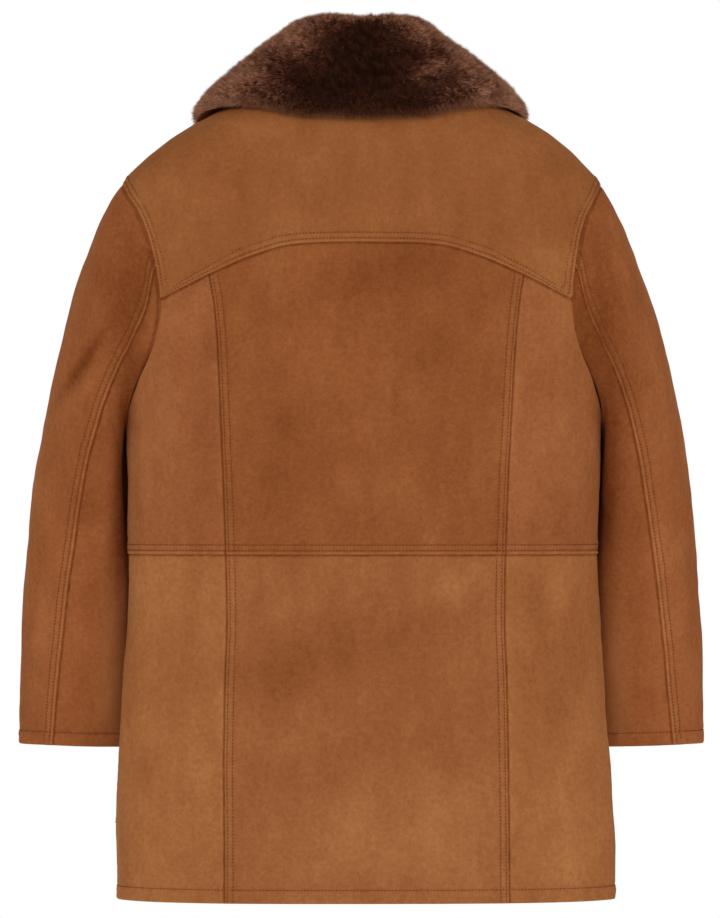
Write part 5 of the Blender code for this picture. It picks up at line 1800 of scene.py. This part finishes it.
def horn_material(name):
    """Polished dark horn with faint lighter streaks."""
    material, tree = new_material(name, Roughness=0.28, Coat_Weight=0.25, Coat_Roughness=0.15)
    streaks = noise(tree, stretched(tree, own_place(tree), (1.0, 1.0, 3.0)), 90.0, 4.0, 0.6)
    set_shader(tree, Base_Color=ramp(
        tree, streaks, (0.35, linear(28, 15, 9)), (0.60, linear(58, 33, 20)), (0.75, linear(96, 62, 38))))
    return material


# ---------------------------------------------------------------- the coat

SUEDES = {
    # colour of the nap's middle as on a screen, and how strongly its tones differ
    "yoke": ((155, 94, 52), 0.62),
    "centre": ((150, 87, 47), 0.72),
    "side": ((156, 92, 53), 0.72),
    "lower": ((161, 98, 56), 0.72),
    "side_lower": ((167, 104, 59), 0.72),
    "front": ((159, 95, 54), 0.72),
    "sleeve": ((160, 94, 53), 0.72),
}
THREAD_TONE = linear(116, 64, 34)
BUTTON_THREAD_TONE = linear(70, 42, 28)

ARMHOLE_FROM = SIDE_SEAM_ROWS / (SIDE_SEAM_ROWS + ARMHOLE_STRETCH_ROWS)
FRONT_ARMHOLE_FROM = (BELOW_WAIST_ROWS + SIDE_SEAM_ROWS) / sum(FRONT_ROW_COUNTS)
YOKE_FLAT_SIZE = (0.56, 0.26)
YOKE_CORNER_SHARE = ARMHOLE_STRETCH_ROWS / (2 * YOKE_HALF_COLUMNS)
CENTRE_FACETS = (2 * HALF_CENTRE_COLUMNS, BELOW_WAIST_ROWS)
SIDE_UPPER_FACETS = (SIDE_BACK_COLUMNS, SIDE_SEAM_ROWS + ARMHOLE_STRETCH_ROWS)
SIDE_LOWER_FACETS = (SIDE_BACK_COLUMNS, BELOW_WAIST_ROWS)
FRONT_FACETS = (NECK_COLUMNS + YOKE_ROW_COUNT, sum(FRONT_ROW_COUNTS))
SLEEVE_FACETS = (SLEEVE_FRONT_SEAM_STEP + SLEEVE_BACK_SEAM_STEP, len(SLEEVE_ROWS) - 1)


def seams_of(**edges):
    """Seams as (edge, kind, from, to), given for each edge as one kind or as some (kind, from, to)."""
    rows = []
    for edge, kinds in edges.items():
        if isinstance(kinds, str):
            kinds = ((kinds, 0.0, 1.0),)
        rows += [(edge, *kind) for kind in kinds]
    return rows


def coat_panels():
    """Each cut piece, after the name of its suede."""
    corner = YOKE_CORNER_SHARE
    yoke_top = (("armhole", 0.0, corner), ("lap", corner, 1 - corner), ("armhole", 1 - corner, 1.0))
    panels = [
        ("yoke", Panel("back_yoke", yoke_surface(), (2 * YOKE_HALF_COLUMNS, YOKE_ROW_COUNT),
                       seams_of(left="lap", right="lap", bottom="under", top=yoke_top), YOKE_FLAT_SIZE)),
        ("centre", Panel("back_centre_upper", centre_surface(True), CENTRE_FACETS,
                         seams_of(left="stitched", right="stitched", bottom="lap", top="under"))),
        ("lower", Panel("back_centre_lower", centre_surface(False), CENTRE_FACETS,
                        seams_of(left="stitched", right="stitched", bottom="hem", top="under"))),
    ]
    side_edge = (("lap", 0.0, ARMHOLE_FROM), ("turned", ARMHOLE_FROM, 1.0))
    front_outer_edge = (("armhole", FRONT_ARMHOLE_FROM, 1.0), ("under", 0.0, FRONT_ARMHOLE_FROM))
    for label, side in (("left", 1), ("right", -1)):
        top, under = sleeve_surfaces(side)
        panels += [
            ("side", Panel(f"back_side_upper_{label}", side_surface(side, True), SIDE_UPPER_FACETS,
                           seams_of(left="plain", bottom="lap", top="under", right=side_edge))),
            ("side_lower", Panel(f"back_side_lower_{label}", side_surface(side, False), SIDE_LOWER_FACETS,
                                 seams_of(left="plain", right="lap", bottom="hem", top="under"))),
            ("front", Panel(f"front_{label}", front_surface(side), FRONT_FACETS,
                            seams_of(left="hem", bottom="hem", top="under", right=front_outer_edge))),
            ("sleeve", Panel(f"sleeve_top_{label}", top, SLEEVE_FACETS,
                             seams_of(left="pressed", right="lap", bottom="under", top="hem"))),
            ("sleeve", Panel(f"sleeve_under_{label}", under, SLEEVE_FACETS,
                             seams_of(left="under", right="plain", bottom="underarm", top="hem"))),
        ]
    return panels


def build_coat():
    suedes = {}
    for name, (middle, contrast) in SUEDES.items():
        suedes[name] = suede_material(f"suede_{name}", linear(*middle), contrast)
    wool = wool_material("clipped_wool")
    thread = thread_material("thread", THREAD_TONE)
    panels = coat_panels()
    for name, panel in panels:
        shell(panel, suedes[name], wool)
    stitching([panel for _, panel in panels], thread)

    fur = fur_material("fur")
    collar_map = CollarMap()
    undercoat(collar_map, fur, suedes["yoke"])
    fur_hairs(collar_map, fur)

    horn = horn_material("horn")
    button_thread = thread_material("button_thread", BUTTON_THREAD_TONE)
    for number, height in enumerate(BUTTON_HEIGHTS, start=1):
        button(number, height, horn, button_thread)


# ---------------------------------------------------------------- stage, light and camera

FRAME_HEIGHT = 918
METRES_A_PIXEL = 0.00104
VIEW_CENTRE = (0.0038, 0.0, -0.3546)
VIEW_TURN = 1.3             # degrees that the camera stands off straight behind, towards the coat's left
CAMERA_DISTANCE = 10.0
SENSOR = 36.0
FLOOR_HEIGHT = -1.25
FLOOR_REACH = 7.0
ROOM_LIGHT = 0.36           # strength of the white room round the coat; straight behind it shows as white
LIGHT_TARGET = (0.0, 0.0, -0.35)
LIGHTS = (
    # name, place, size, power
    ("key_back", (1.6, 4.6, 2.0), 2.2, 78.0),
    ("fill_back", (-2.2, 4.6, 0.4), 2.5, 50.0),
    ("side_left", (4.8, 1.0, 1.1), 3.0, 35.0),
    ("side_right", (-4.8, 1.0, 1.1), 3.0, 35.0),
    ("key_front", (-1.6, -4.6, 2.0), 2.2, 85.0),
    ("fill_front", (2.2, -4.6, 0.4), 2.5, 55.0),
)


def aim_at(thing, target):
    from_target = [thing.location[axis] - target[axis] for axis in range(3)]
    flat = math.hypot(from_target[0], from_target[1])
    tilt = math.atan2(flat, from_target[2])
    thing.rotation_euler = (tilt, 0.0, math.atan2(from_target[0], -from_target[1]))


def area_light(name, place, size, power):
    lamp = bpy.data.lights.new(name, "AREA")
    lamp.shape = "SQUARE"
    lamp.size = size
    lamp.energy = power
    light = add_object(name, lamp)
    light.location = place
    aim_at(light, LIGHT_TARGET)


def floor():
    reach = FLOOR_REACH
    sides = ((-reach, -reach), (reach, -reach), (reach, reach), (-reach, reach))
    corners = [(x, y, FLOOR_HEIGHT) for x, y in sides]
    material, tree = new_material("pale_floor", Roughness=0.9)
    mottle = noise(tree, own_place(tree), 3.0, 2.0)
    set_shader(tree, Base_Color=ramp(tree, mottle, (0.3, (0.90, 0.90, 0.90)), (0.7, (0.93, 0.93, 0.93))))
    mesh = bpy.data.meshes.new("floor")
    mesh.from_pydata(corners, [], [(0, 1, 2, 3)])
    mesh.materials.append(material)
    ground = add_object("floor", mesh)


def room():
    """A soft white room that lights the coat, and plain white where the camera sees past it."""
    world = bpy.data.worlds.new("studio")
    world.use_nodes = True
    tree = world.node_tree
    backdrop = tree.nodes["Background"]
    set_inputs(tree, backdrop, Color=(1.0, 1.0, 1.0, 1.0), Strength=1.0)
    lit = add_node(tree, "Background", "Background", Strength=ROOM_LIGHT)
    either = tree.nodes.new("ShaderNodeMixShader")
    set_inputs(tree, either, Fac=add_node(tree, "LightPath", "Is Camera Ray"))
    tree.links.new(lit, either.inputs[1])
    tree.links.new(backdrop.outputs["Background"], either.inputs[2])
    set_inputs(tree, tree.nodes["World Output"], Surface=either.outputs["Shader"])
    bpy.context.scene.world = world
    bpy.context.scene.view_settings.view_transform = "Standard"


def camera():
    lens = bpy.data.cameras.new("camera")
    lens.sensor_fit = "VERTICAL"
    lens.sensor_height = SENSOR
    lens.lens = SENSOR * CAMERA_DISTANCE / (FRAME_HEIGHT * METRES_A_PIXEL)
    lens.clip_end = 100.0
    eye = add_object("camera", lens)
    turn = math.radians(VIEW_TURN)
    eye.location = (VIEW_CENTRE[0] + CAMERA_DISTANCE * math.sin(turn),
                    VIEW_CENTRE[1] + CAMERA_DISTANCE * math.cos(turn), VIEW_CENTRE[2])
    aim_at(eye, VIEW_CENTRE)
    bpy.context.scene.camera = eye


build_coat()
floor()
room()
for light in LIGHTS:
    area_light(*light)
camera()
